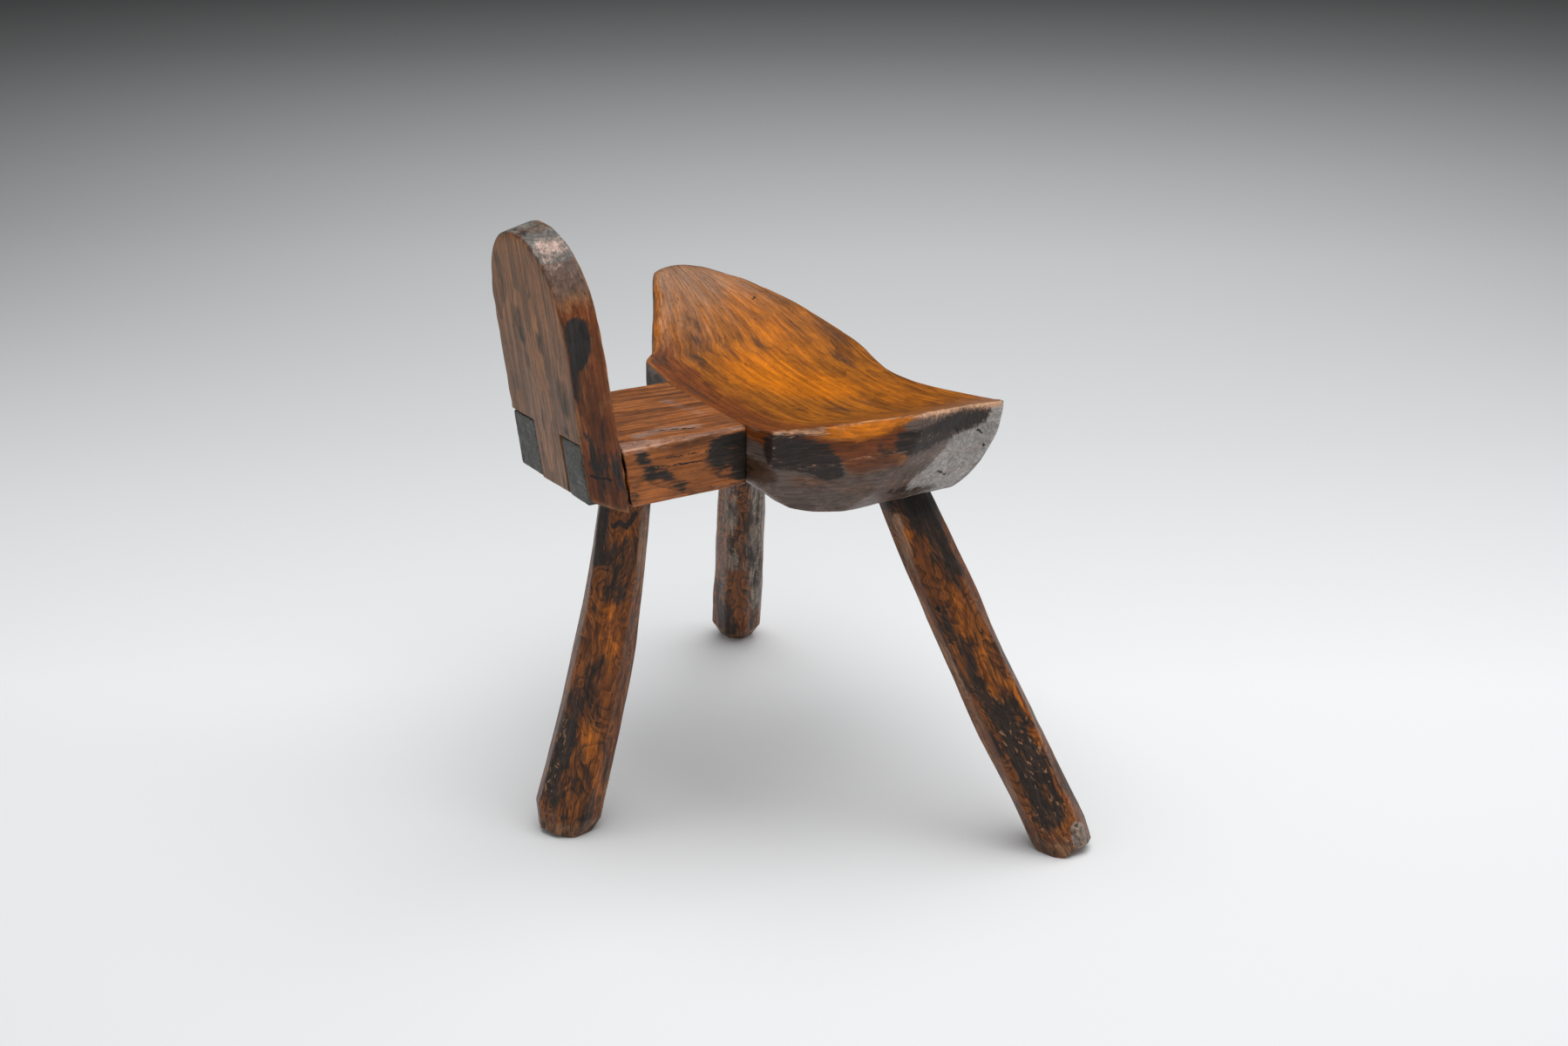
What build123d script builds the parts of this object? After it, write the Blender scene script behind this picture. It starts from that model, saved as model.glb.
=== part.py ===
from build123d import *
import math
import os

# Three-legged hewn stool with a dished, winged seat, a thick tongue behind it and a leaning, arched back board.
# Millimetres. +Z is up, +X is the way the sitter faces and +Y is the sitter's left.
# Each piece is drawn in the seat's own frame: x = 0 is the seat's back face, y = 0 its middle, z = 0 the floor.
# The last step moves them all, so that the origin is on the floor under the middle of the whole stool.

# ---- Seat: a thick slab, hollowed from wing to wing ----
SEAT_DEPTH = 204.0          # back face to the front edge, along the middle
WING_SPAN = 463.0           # over both wing tips
WING_TIP_X = 96.0           # how far in front of the back face the wings are widest
BACK_FACE_HALF = 107.0      # half width of the straight back face
WING_ROOT = (15.0, 121.0)   # where the wing's back edge starts, after a short corner facet
WING_BACK_TIP = (75.0, 224.0)
SEAT_UNDERSIDE_Z = 298.0
DISH_FALL = 9.0             # how much lower the hollow runs at the front edge
BACK_BEVEL_RUN = 18.0       # how far the bevel under the back face runs forward
WING_BEVEL_ROOT_Z = 340.0   # where the bevel under a wing's back edge starts, at its root and at its tip
WING_BEVEL_TIP_Z = 380.0
WING_BEVEL_ANGLE = 23.0     # lean of that bevel, from upright
NOSE_BEVEL = [(150.0, 296.0), (186.0, 306.0), (206.0, 321.0), (224.0, 342.0)]  # side view, under the front edge

# Hollow's curve from the middle to one wing: (distance from the middle, height at the back face).
HOLLOW_CURVE = [(0.0, 363.0), (70.0, 366.5), (107.0, 373.5), (145.0, 385.2), (181.0, 398.0), (215.0, 411.5),
                (262.0, 434.0)]
# Flat hewn facets under one wing, from the underside up to the tip: (distance from the middle, height).
HULL_FACETS = [(118.0, SEAT_UNDERSIDE_Z), (146.0, 304.0), (185.0, 338.0), (210.0, 366.0), (224.0, 388.0),
               (238.0, 430.0)]
# Round facets under the front corners, turned about an upright line behind the back face: (radius, height).
BOWL_X = -10.0
BOWL_FACETS = [(212.0, 290.0), (244.0, 324.0), (264.0, 355.0), (282.0, 385.0), (292.0, 440.0)]
# Front edge of each wing, from the tip to the nose: (distance in front of the back face, from the middle).
LEFT_FRONT_EDGE = [(126.0, 222.0), (150.0, 206.0), (172.0, 182.0), (188.0, 158.0), (200.0, 128.0), (209.0, 96.0),
                   (206.0, 54.0)]
RIGHT_FRONT_EDGE = [(136.0, 228.0), (159.0, 213.0), (182.0, 180.0), (204.0, 141.0), (220.0, 110.0), (223.0, 84.0),
                    (214.0, 45.0)]

# ---- Tongue: the plank that joins the seat and the back board ----
TONGUE_HALF = 70.0
TONGUE_UNDERSIDE_Z = 315.5
TONGUE_TOP_Z = 364.0        # top at the seat, in the middle
TONGUE_RISE_BACK = 0.035    # the top rises towards the board, and towards the right, by this much per mm
TONGUE_RISE_RIGHT = 0.036
TONGUE_ARRIS = (1.5, 6.0)   # worn chamfers along the left and the right top edge
TENON_DEPTH = 70.0          # the tongue's blind tenon in the seat
TENON_HALF = 52.0
TENON_Z = (327.0, 353.0)
LEFT_PIN = (30.5, 70.0)     # the two through tenons in the back board: from y, to y
RIGHT_PIN = (-53.0, -19.0)

# ---- Back board: leans back, arched top, right edge hewn off askew ----
BOARD_LEAN = 8.5            # degrees from upright
BOARD_THICKNESS = 30.0
BOARD_FRONT_X = -115.0      # front face at the height of the tongue's underside
BOARD_LEFT = (70.5, 69.0)   # half width to the left, at the foot and where the arch starts
BOARD_RIGHT = (72.5, 66.5)  # half width to the right on the front face, at the same two heights
BOARD_RIGHT_BEHIND = (54.0, 60.5)                  # the same on the back face
BOARD_SHOULDER_S = 152.0    # height of the arch's start, along the board
BOARD_CROWN_Y = 5.0
BOARD_ARCH_RISE = (85.5, 84.0)                     # on the front face, on the back face
BOARD_FOOT_FRONT = (0.0, -4.0)                     # foot's left and right ends along the board, front face
BOARD_FOOT_BEHIND = (4.5, 6.0)                     # the same on the back face
BOARD_CORNER = 6.0          # cut-off lower corners

# ---- Legs: hewn eight-sided clubs with a whittled round tenon ----
LEFT_LEG_TOP = (118.0, 128.0, SEAT_UNDERSIDE_Z)    # axis at the underside of the seat
RIGHT_LEG_TOP = (122.0, -129.0, SEAT_UNDERSIDE_Z)
LEFT_FOOT = (199.0, 290.0, 0.0)
RIGHT_FOOT = (204.0, -276.0, 0.0)
LEFT_LEG_BOW = 0.0          # how far a front leg bows sideways from a straight line
RIGHT_LEG_BOW = 2.5
BACK_LEG_TOP = (-82.0, -4.0, TONGUE_UNDERSIDE_Z)
BACK_LEG_KNEE = (-103.0, -8.0, 196.0)              # the curved leg passes here
BACK_FOOT = (-156.0, -13.0, 0.0)
LEG_SIDES = 8
LEFT_LEG_RADII = (23.0, 24.0, 24.7, 24.6)          # corner radius of the section, from the top to above the foot
RIGHT_LEG_RADII = (22.8, 25.4, 26.6, 25.0)
BACK_LEG_RADII = (22.5, 26.6, 28.6, 30.8)
LEG_REACH = 22.0            # the leg's body is drawn this far into the wood above, then scribed to it
FOOT_BEVEL = 20.0           # height of the worn bevel round a foot
FOOT_NARROWING = 0.74
LEG_TENON_RADIUS = 14.0
LEG_TENON_LENGTH = 36.0

WIDE = 600.0                # larger than the stool, for cutting tools


def mirrored(points):
    """The points, then their mirror images in the seat's middle, as one run from one wing to the other."""
    return [(-a, b) for a, b in reversed(points)] + [p for p in points if p[0] != 0.0]


def slab(x_from, x_to, y_from, y_to, z_from, z_to):
    """A box between the given limits."""
    low = (Align.MIN, Align.MIN, Align.MIN)
    return Location((x_from, y_from, z_from)) * Box(x_to - x_from, y_to - y_from, z_to - z_from, align=low)


# ---- Seat ----
def seat_plan():
    """Blank seen from above: a straight back, wings swept forward and a rounded front."""
    left_back = [(0.0, BACK_FACE_HALF), WING_ROOT, WING_BACK_TIP]
    tip = (WING_TIP_X, WING_SPAN / 2)
    left_front = [WING_BACK_TIP, tip] + LEFT_FRONT_EDGE
    right_front = [WING_BACK_TIP, tip] + RIGHT_FRONT_EDGE
    around = left_front + [(SEAT_DEPTH, 0.0)] + [(x, -y) for x, y in reversed(right_front)]
    back = Polyline(*[(x, -y) for x, y in reversed(left_back)], *left_back)
    return make_face(back + Spline(*around))


def seat_front_view():
    """Seen from the front: the faceted underside up to the wing tips, and the hollow that is taken out on top."""
    under = mirrored(HULL_FACETS)
    curve = mirrored(HOLLOW_CURVE)
    outside = Polyline((-262.0, 500.0), *under, (262.0, 500.0), (-262.0, 500.0))
    hollow = Spline(*curve) + Polyline(curve[-1], (262.0, 520.0), (-262.0, 520.0), curve[0])
    return make_face(outside), make_face(hollow)


def seat_side_view():
    """Seen from the side: upright back face, bevelled at its foot, and a front edge rounded up underneath."""
    back = [(0.0, 500.0), (0.0, TONGUE_UNDERSIDE_Z), (BACK_BEVEL_RUN, SEAT_UNDERSIDE_Z - 2.0)]
    front = NOSE_BEVEL + [(NOSE_BEVEL[-1][0], 500.0), (0.0, 500.0)]
    return make_face(Polyline(*back, *front))


def bowl():
    """Solid turned from the round facets: it takes off the front corners underneath."""
    low, high = BOWL_FACETS[0][1], BOWL_FACETS[-1][1]
    half = make_face(Polyline((0.0, low), *BOWL_FACETS, (0.0, high), (0.0, low)))
    return Location((BOWL_X, 0.0, 0.0)) * revolve(Plane.XZ * half, Axis.Z)


def wing_bevel(side):
    """Block that takes off the lower back edge of one wing. side is 1 for the left wing, -1 for the right."""
    root = Vector(WING_ROOT[0], side * WING_ROOT[1], WING_BEVEL_ROOT_Z)
    tip = Vector(WING_BACK_TIP[0], side * WING_BACK_TIP[1], WING_BEVEL_TIP_Z)
    along = (tip - root).normalized()
    level = Vector(along.X, along.Y, 0.0).normalized()
    outward = Vector(-level.Y, level.X, 0.0) * side
    lean = math.radians(WING_BEVEL_ANGLE)
    leaning = outward * math.cos(lean) + Vector(0.0, 0.0, -math.sin(lean))
    normal = (leaning - along * leaning.dot(along)).normalized()
    return Plane(origin=root, x_dir=along, z_dir=normal) * Box(
        WIDE, WIDE, 120.0, align=(Align.CENTER, Align.CENTER, Align.MIN)
    )


def seat_blank():
    """The seat without its mortises: the three views cut into each other, then bevelled underneath."""
    outside, hollow = seat_front_view()
    fall = Vector(SEAT_DEPTH, 0.0, -DISH_FALL)
    body = extrude(seat_plan(), amount=500.0)
    body &= extrude(Plane.YZ * outside, amount=SEAT_DEPTH + 40.0)
    body &= extrude(Plane.XZ * seat_side_view(), amount=300.0, both=True)
    body -= extrude(Plane.YZ * hollow, amount=1.3 * fall.length, dir=fall.normalized())
    body &= bowl()
    for side in (1, -1):
        body -= wing_bevel(side)
    return body


# ---- Back board ----
def board_plane(offset=0.0):
    """The board's own plane: local x is the sitter's right, local y climbs the board, local z points back."""
    lean = math.radians(BOARD_LEAN)
    up = Vector(-math.sin(lean), 0.0, math.cos(lean))
    back = Vector(-math.cos(lean), 0.0, -math.sin(lean))
    foot = Vector(BOARD_FRONT_X, 0.0, TONGUE_UNDERSIDE_Z)
    return Plane(origin=foot + back * offset, x_dir=up.cross(back), z_dir=back)


def behind(offset):
    """Everything behind the board's plane at this offset from its front face."""
    return board_plane(offset) * Box(WIDE, WIDE, 300.0, align=(Align.CENTER, Align.CENTER, Align.MIN))


def board_outline(left, right, foot, rise):
    """Outline of one face of the board, in its plane: straight sides and an arch of two quarter ellipses.

    left and right hold the half widths at the foot and at the shoulder, and foot the foot's height at each end.
    """
    turn = -1 if board_plane().x_dir.Y < 0 else 1
    (left_foot, left_shoulder), (right_foot, right_shoulder) = left, right
    crown = turn * BOARD_CROWN_Y
    spring_left = (turn * left_shoulder, BOARD_SHOULDER_S)
    spring_right = (-turn * right_shoulder, BOARD_SHOULDER_S)
    sides = Polyline(
        spring_right, (-turn * right_foot, foot[1] + BOARD_CORNER), (-turn * (right_foot - BOARD_CORNER), foot[1]),
        (turn * (left_foot - BOARD_CORNER), foot[0]), (turn * left_foot, foot[0] + BOARD_CORNER), spring_left,
    )
    middle = (crown, BOARD_SHOULDER_S)
    high, low = max(spring_left[0], spring_right[0]), min(spring_left[0], spring_right[0])
    arch = EllipticalCenterArc(middle, high - crown, rise, 0.0, arc_size=90.0) + EllipticalCenterArc(
        middle, crown - low, rise, 90.0, arc_size=90.0
    )
    return make_face(sides + arch)


def board_blank():
    """The board before its joint is cut: ruled between the front outline and the smaller back one."""
    front = board_outline(BOARD_LEFT, BOARD_RIGHT, BOARD_FOOT_FRONT, BOARD_ARCH_RISE[0])
    back = board_outline(BOARD_LEFT, BOARD_RIGHT_BEHIND, BOARD_FOOT_BEHIND, BOARD_ARCH_RISE[1])
    return loft([board_plane(0.0) * front, board_plane(BOARD_THICKNESS) * back], ruled=True)


# ---- Tongue ----
def under_top(half, arrises=(0.0, 0.0)):
    """Everything under the tongue's sloping top, behind the seat and within this half width."""
    left, right = arrises
    lift = TONGUE_RISE_RIGHT * half
    corners = [(-half, 200.0), (-half, TONGUE_TOP_Z + lift - right)]
    if right:
        corners.append((-half + right, TONGUE_TOP_Z + lift))
    if left:
        corners.append((half - left, TONGUE_TOP_Z - lift))
    corners += [(half, TONGUE_TOP_Z - lift - left), (half, 200.0), (-half, 200.0)]
    return extrude(Plane.YZ * make_face(Polyline(*corners)), amount=220.0, dir=(-1.0, 0.0, TONGUE_RISE_BACK))


def tongue_bar():
    """The tongue as a bar, from the seat's back face to well behind the board."""
    return under_top(TONGUE_HALF, TONGUE_ARRIS) & slab(-WIDE, 0.0, -WIDE, WIDE, TONGUE_UNDERSIDE_Z, WIDE)


def pins():
    """The two through tenons, too long by what sticks out behind the board."""
    return tongue_bar() & (slab(-WIDE, 0.0, *LEFT_PIN, 0.0, WIDE) + slab(-WIDE, 0.0, *RIGHT_PIN, 0.0, WIDE))


def pin_slots():
    """What the board loses round the pins: both slots are open at its foot, and the left one at its side too."""
    left_slot = slab(-WIDE, 0.0, LEFT_PIN[0], 120.0, 0.0, WIDE)
    return under_top(120.0) & (left_slot + slab(-WIDE, 0.0, *RIGHT_PIN, 0.0, WIDE))


def tongue_tenon():
    """The tongue's blind tenon, which fills the mortise in the seat's back face."""
    return slab(0.0, TENON_DEPTH, -TENON_HALF, TENON_HALF, *TENON_Z)


def tongue_blank():
    """The tongue with its shoulders, pins and tenon."""
    body = tongue_bar() - behind(0.0)
    return body + (pins() & behind(-1.0)) - behind(BOARD_THICKNESS) + tongue_tenon()


# ---- Legs ----
def leg_axis(top, knee, foot):
    """The leg's middle line, from a point inside the wood above down to just below the floor."""
    top, knee, foot = Vector(*top), Vector(*knee), Vector(*foot)
    start = top + (top - knee).normalized() * LEG_REACH
    end = foot + (foot - knee).normalized() * 1.0
    return Spline(start, knee, end)


def leg_body(top, knee, foot, radii, turn):
    """Eight-sided club, ruled between sections square to the middle line. radii go from the top to the foot."""
    line = leg_axis(top, knee, foot)
    above_foot = 1.0 - FOOT_BEVEL / line.length
    places = (0.0, 0.35, 0.65, above_foot, 1.0)
    sections = []
    for place, radius in zip(places, radii + (radii[-1] * FOOT_NARROWING,)):
        plane = Plane(origin=line @ place, x_dir=(1.0, 0.0, 0.0), z_dir=line % place)
        sections.append(plane * Rot(0, 0, turn) * RegularPolygon(radius, LEG_SIDES))
    return loft(sections, ruled=True) & slab(-WIDE, WIDE, -WIDE, WIDE, 0.0, WIDE)


def leg_tenon(top, knee):
    """Whittled round tenon, along the top of the leg."""
    top, knee = Vector(*top), Vector(*knee)
    along = (top - knee).normalized()
    return Plane(origin=top - along * 6.0, z_dir=along) * Cylinder(
        LEG_TENON_RADIUS, LEG_TENON_LENGTH + 6.0, align=(Align.CENTER, Align.CENTER, Align.MIN)
    )


def bowed(top, foot, bow):
    """Point near the middle of a leg, moved sideways off the straight line by the bow."""
    top, foot = Vector(*top), Vector(*foot)
    sideways = (foot - top).cross(Vector(0.0, 0.0, 1.0)).normalized()
    return tuple((top + foot) * 0.5 + sideways * bow)


def build():
    """All the pieces, fitted to each other, by node name."""
    left_knee = bowed(LEFT_LEG_TOP, LEFT_FOOT, LEFT_LEG_BOW)
    right_knee = bowed(RIGHT_LEG_TOP, RIGHT_FOOT, RIGHT_LEG_BOW)
    blanks = {"seat": seat_blank(), "tongue": tongue_blank()}
    pieces = {"seat": blanks["seat"] - tongue_tenon(), "tongue": blanks["tongue"]}
    pieces["back_board"] = board_blank() - pin_slots() - blanks["tongue"]
    legs = {
        "back_leg": ("tongue", BACK_LEG_TOP, BACK_LEG_KNEE, BACK_FOOT, BACK_LEG_RADII, 0.0),
        "front_left_leg": ("seat", LEFT_LEG_TOP, left_knee, LEFT_FOOT, LEFT_LEG_RADII, 10.0),
        "front_right_leg": ("seat", RIGHT_LEG_TOP, right_knee, RIGHT_FOOT, RIGHT_LEG_RADII, 24.0),
    }
    for name, (host, top, knee, foot, radii, turn) in legs.items():
        tenon = leg_tenon(top, knee)
        pieces[name] = leg_body(top, knee, foot, radii, turn) - blanks[host] - pieces["back_board"] + tenon
        pieces[host] -= tenon
    return pieces


os.makedirs("parts", exist_ok=True)
made = {node: piece.solid() for node, piece in build().items()}
limits = Compound(list(made.values())).bounding_box()
origin_move = Location((-limits.center().X, -limits.center().Y, 0.0))
print("seat's frame to the origin, in mm:", round(-limits.center().X, 3), round(-limits.center().Y, 3))
print("size, in mm:", round(limits.size.X, 2), round(limits.size.Y, 2), round(limits.size.Z, 2))
for node, piece in made.items():
    print(node, round(piece.volume), "mm3")
    export_step(origin_move * piece, f"parts/{node}.step")
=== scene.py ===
"""Dresses the three-legged hewn stool: carved wood pieces, their finishes, a pale studio floor, lights and camera."""
import logging
import math
from dataclasses import dataclass, field
from enum import Enum
from functools import reduce
from typing import Callable, Sequence

import bmesh
import bpy
import numpy as np
from mathutils import Matrix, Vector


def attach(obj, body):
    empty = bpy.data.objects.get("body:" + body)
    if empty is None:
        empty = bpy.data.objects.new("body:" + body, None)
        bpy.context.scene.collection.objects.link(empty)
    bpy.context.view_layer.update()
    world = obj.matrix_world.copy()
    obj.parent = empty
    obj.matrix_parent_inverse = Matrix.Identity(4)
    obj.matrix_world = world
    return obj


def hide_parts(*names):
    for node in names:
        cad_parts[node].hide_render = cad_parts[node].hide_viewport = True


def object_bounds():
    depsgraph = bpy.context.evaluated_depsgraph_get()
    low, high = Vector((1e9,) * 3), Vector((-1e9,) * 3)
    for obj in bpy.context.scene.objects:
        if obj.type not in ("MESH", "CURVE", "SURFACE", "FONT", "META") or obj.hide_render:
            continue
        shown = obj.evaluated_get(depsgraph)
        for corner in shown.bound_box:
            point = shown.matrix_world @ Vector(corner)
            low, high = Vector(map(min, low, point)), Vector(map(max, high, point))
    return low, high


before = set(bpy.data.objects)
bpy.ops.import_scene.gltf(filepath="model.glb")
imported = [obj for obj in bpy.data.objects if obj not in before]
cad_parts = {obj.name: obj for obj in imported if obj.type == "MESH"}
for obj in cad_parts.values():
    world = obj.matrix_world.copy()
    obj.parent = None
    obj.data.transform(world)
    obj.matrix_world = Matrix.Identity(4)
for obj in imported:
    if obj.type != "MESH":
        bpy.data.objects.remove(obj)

CAD_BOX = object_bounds()
LOG = logging.getLogger("stool")

# Shapes are worked out in the seat's own frame, in millimetres: x = 0 is the seat's back face, y = 0 its middle.
SEAT_ORIGIN = np.array([-21.798, -6.667, 0.0])
METRES = 0.001
BOX_ROOM = 0.3        # the feet are hewn upright this far inside the CAD box
SHARP_ANGLE = 48.0    # degrees between two faces from which their edge is drawn sharp
SAWN_ARRIS = 0.7      # how rounded the arrises of the plank and its pins are

# What scatters the lattice's random numbers: a step along x, y and z, a step of the seed, and a wave's height.
HASH_STEPS, HASH_SEED, HASH_HEIGHT = np.array([127.1, 311.7, 74.7]), 53.3, 43758.5453

Array = np.ndarray
Path = Sequence[tuple[float, float]]
Point = tuple[float, float, float]
Colour = Point


class Finish(Enum):
    """The record's material slots."""

    SEAT = "seat_wood"
    TONGUE = "tongue_wood"
    BOARD = "board_wood"
    LEG = "leg_wood"


class Mask(Enum):
    """Numbers kept on each point of a piece, from 0 to 1, for its finish to read."""

    WAX_SHEEN = "wax_sheen"       # milky old wax, and painted sheen: the lamp's reflection on the seat's far wing and light strips on the legs and the board
    AMBER = "amber"     # polished, warm and clear
    RUST = "rust"       # worn to orange brown
    ASH_SHEEN = "ash_sheen"         # dry and greyed; on the seat's sides partly a painted grey sheen
    END = "end_grain_sheen"   # silvery cut ends of the fibres; on the seat's near tip and down the far leg partly painted sheen
    CHAR = "char"       # burnt or blackened
    PALE = "pale"       # knocked or rubbed to pale wood; along the seat's band partly a painted highlight
    SHADE = "shade"     # painted shade in gaps and where pieces meet; it also darkens some low sides and edges, and lays dark smudges of dirt
    SCAR = "scar"       # nicked and chipped


# ---------------------------------------------------------------- numbers
def unit(vector: Sequence[float]) -> Array:
    """Returns the vector at length 1."""
    array = np.asarray(vector, float)
    return array / np.linalg.norm(array)


def smooth_step(value: Array, low: float, high: float) -> Array:
    """Ramps from 0 at low to 1 at high along 3t^2 - 2t^3."""
    t = np.clip((value - low) / (high - low), 0.0, 1.0)
    return t * t * (3.0 - 2.0 * t)


def lattice_value(corner: Array, seed: int) -> Array:
    """Returns a fixed random number from 0 to 1 for each lattice point."""
    return np.modf(np.abs(np.sin(corner @ HASH_STEPS + HASH_SEED * seed) * HASH_HEIGHT))[0]


def noise(points: Array, cell: float, seed: int) -> Array:
    """Value noise: random numbers on a lattice of cubes, blended smoothly between the eight corners of each cube.

    Args:
        points: positions in mm, shape (..., 3).
        cell: size of a cube in mm.
        seed: picks the pattern.

    Returns:
        Values from -1 to 1.
    """
    scaled = points / cell
    base = np.floor(scaled)
    local = scaled - base
    local = local * local * (3.0 - 2.0 * local)
    total = np.zeros(points.shape[:-1])
    for dx in (0, 1):
        for dy in (0, 1):
            for dz in (0, 1):
                value = lattice_value(base + (dx, dy, dz), seed) * 2.0 - 1.0
                wx = local[..., 0] if dx else 1.0 - local[..., 0]
                wy = local[..., 1] if dy else 1.0 - local[..., 1]
                wz = local[..., 2] if dz else 1.0 - local[..., 2]
                total += value * wx * wy * wz
    return total


def layered_noise(points: Array, cell: float, seed: int, layers: int = 3) -> Array:
    """Sum of noises, each at half the cell and half the height of the one before."""
    return sum(noise(points, cell / 2**k, seed + 7 * k) / 2**k for k in range(layers))


def scoops(points: Array, cell: float, seed: int) -> Array:
    """Shallow scoops with sharp ridges between them: 1 - 1.5 d^2, where d is the distance to the nearest centre.

    One centre lies somewhere in each cube of the lattice, and the ridges are 0.
    """
    scaled = points / cell
    base = np.floor(scaled)
    least = np.full(points.shape[:-1], 4.0)
    for dx in (-1, 0, 1):
        for dy in (-1, 0, 1):
            for dz in (-1, 0, 1):
                corner = base + (dx, dy, dz)
                centre = corner + np.stack([lattice_value(corner, seed + k) for k in (0, 19, 43)], axis=-1)
                least = np.minimum(least, ((centre - scaled) ** 2).sum(axis=-1))
    return np.clip(1.0 - 1.5 * least, 0.0, 1.0)


def smooth_max(stack: Array, softness: Array | float) -> Array:
    """Largest of the values along the last axis, rounded where two are close: k log(sum(exp(d / k)))."""
    soft = np.asarray(softness, float)
    top = stack.max(axis=-1)
    wide = soft[..., None] if soft.ndim else soft
    return top + soft * np.log(np.exp((stack - top[..., None]) / wide).sum(axis=-1))


def share_of(stack: Array, index: int, softness: float) -> Array:
    """How far one surface of the stack rules at a point, from 0 to 1: exp(d_i / k) / sum(exp(d / k))."""
    weights = np.exp((stack - stack.max(axis=-1, keepdims=True)) / softness)
    return weights[..., index] / weights.sum(axis=-1)


def arris_of(stack: Array, width: float) -> Array:
    """1 where the two outermost surfaces meet, fading over this width on both sides."""
    ordered = np.sort(stack, axis=-1)
    return np.exp(-((ordered[..., -1] - ordered[..., -2]) / width) ** 2)


class Curve:
    """Natural cubic spline through named points (x, y), with its end tangents carried on as straight lines."""

    def __init__(self, points: Path) -> None:
        """Solves for the bend at each point.

        Args:
            points: the points, with rising x.
        """
        self.x, self.y = (np.array(c, float) for c in zip(*points))
        self.gaps = np.diff(self.x)
        slopes = np.diff(self.y) / self.gaps
        size = len(self.x)
        matrix = np.eye(size)
        right = np.zeros(size)
        for k in range(1, size - 1):
            matrix[k, k - 1:k + 2] = self.gaps[k - 1], 2.0 * (self.gaps[k - 1] + self.gaps[k]), self.gaps[k]
            right[k] = 6.0 * (slopes[k] - slopes[k - 1])
        self.bend = np.linalg.solve(matrix, right)
        self.start_slope = slopes[0] - self.gaps[0] * self.bend[1] / 6.0
        self.end_slope = slopes[-1] + self.gaps[-1] * self.bend[-2] / 6.0

    def __call__(self, at: Array) -> Array:
        """Returns the curve's height at each x."""
        at = np.asarray(at, float)
        inside = np.clip(at, self.x[0], self.x[-1])
        k = np.clip(np.searchsorted(self.x, inside) - 1, 0, len(self.gaps) - 1)
        h = self.gaps[k]
        a = (self.x[k + 1] - inside) / h
        b = (inside - self.x[k]) / h
        line = a * self.y[k] + b * self.y[k + 1]
        curve = line + ((a**3 - a) * self.bend[k] + (b**3 - b) * self.bend[k + 1]) * h * h / 6.0
        return curve + np.where(at < inside, self.start_slope, self.end_slope) * (at - inside)


@dataclass(frozen=True)
class Stain:
    """A soft-edged patch: an ellipsoid in mm, full out to its core and gone at its rim."""

    centre: Point
    size: Point
    strength: float = 1.0
    core: float = 0.3

    def on(self, points: Array) -> Array:
        """Returns the patch's strength at each point."""
        reach = np.sqrt((((points - np.array(self.centre)) / np.array(self.size)) ** 2).sum(axis=-1))
        return self.strength * (1.0 - smooth_step(reach, self.core, 1.0))


@dataclass(frozen=True)
class Stroke:
    """A soft-edged brush stroke along straight runs in mm, full out to its core and gone at its radius."""

    path: tuple[Point, ...]
    radius: float
    strength: float = 1.0
    core: float = 0.4

    def on(self, points: Array) -> Array:
        """Returns the stroke's strength at each point, by the least distance to its runs."""
        least = np.full(points.shape[:-1], 1e9)
        for start, end in zip(np.array(self.path[:-1]), np.array(self.path[1:])):
            run = end - start
            place = np.clip((points - start) @ run / (run @ run), 0.0, 1.0)
            least = np.minimum(least, np.linalg.norm(points - start - place[..., None] * run, axis=-1))
        return self.strength * (1.0 - smooth_step(least / self.radius, self.core, 1.0))


def stained(points: Array, stains: Sequence[Stain | Stroke]) -> Array:
    """Joins the patches: 1 - the product of (1 - each)."""
    clear = np.ones(points.shape[:-1])
    for stain in stains:
        clear = clear * (1.0 - stain.on(points))
    return 1.0 - clear


# ---------------------------------------------------------------- meshes
@dataclass
class Shell:
    """A closed grid of points: rows of one length that run round the shape, with a pole at each end."""

    rows: Array
    first_pole: Array
    last_pole: Array

    def points(self) -> Array:
        """Returns all points, the two poles last."""
        return np.vstack([self.rows.reshape(-1, 3), self.first_pole[None], self.last_pole[None]])

    def faces(self, start: int = 0) -> list[tuple[int, ...]]:
        """Quads between neighbouring rows and triangles round each pole.

        Args:
            start: number of the first point in the whole mesh.

        Returns:
            The faces as tuples of point numbers.
        """
        count, around = self.rows.shape[:2]
        grid = np.arange(count * around).reshape(count, around) + start
        turned = np.roll(grid, -1, axis=1)
        quads = np.stack([grid[:-1], turned[:-1], turned[1:], grid[1:]], axis=-1).reshape(-1, 4)
        first, last = start + count * around, start + count * around + 1
        caps = [(first, int(b), int(a)) for a, b in zip(grid[0], turned[0])]
        caps += [(last, int(a), int(b)) for a, b in zip(grid[-1], turned[-1])]
        return [tuple(q) for q in quads.tolist()] + caps


def to_row(points: Array) -> Array:
    """Moves points from the seat's frame in mm to the stool's frame in metres."""
    return (points + SEAT_ORIGIN) * METRES


def placed(name: str, data: bpy.types.ID) -> bpy.types.Object:
    """Makes an object and puts it into the scene.

    Args:
        name: the object's name.
        data: its mesh, lamp or camera.

    Returns:
        The new object.
    """
    made = bpy.data.objects.new(name, data)
    bpy.context.scene.collection.objects.link(made)
    return made


def mesh_object(name: str, shells: Sequence[Shell]) -> bpy.types.Object:
    """Makes one object of closed shells, with its faces pointing outwards.

    Args:
        name: the piece's name.
        shells: the closed grids, in the seat's frame.

    Returns:
        The new object, at the origin.
    """
    points, faces, start = [], [], 0
    for shell in shells:
        made = shell.points()
        points.append(made)
        faces += shell.faces(start)
        start += len(made)
    mesh = bpy.data.meshes.new(name)
    mesh.from_pydata(to_row(np.vstack(points)).tolist(), [], faces)
    mesh.update()
    work = bmesh.new()
    work.from_mesh(mesh)
    bmesh.ops.recalc_face_normals(work, faces=work.faces)
    work.to_mesh(mesh)
    work.free()
    mesh.shade_smooth()
    return placed(name, mesh)


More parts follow.
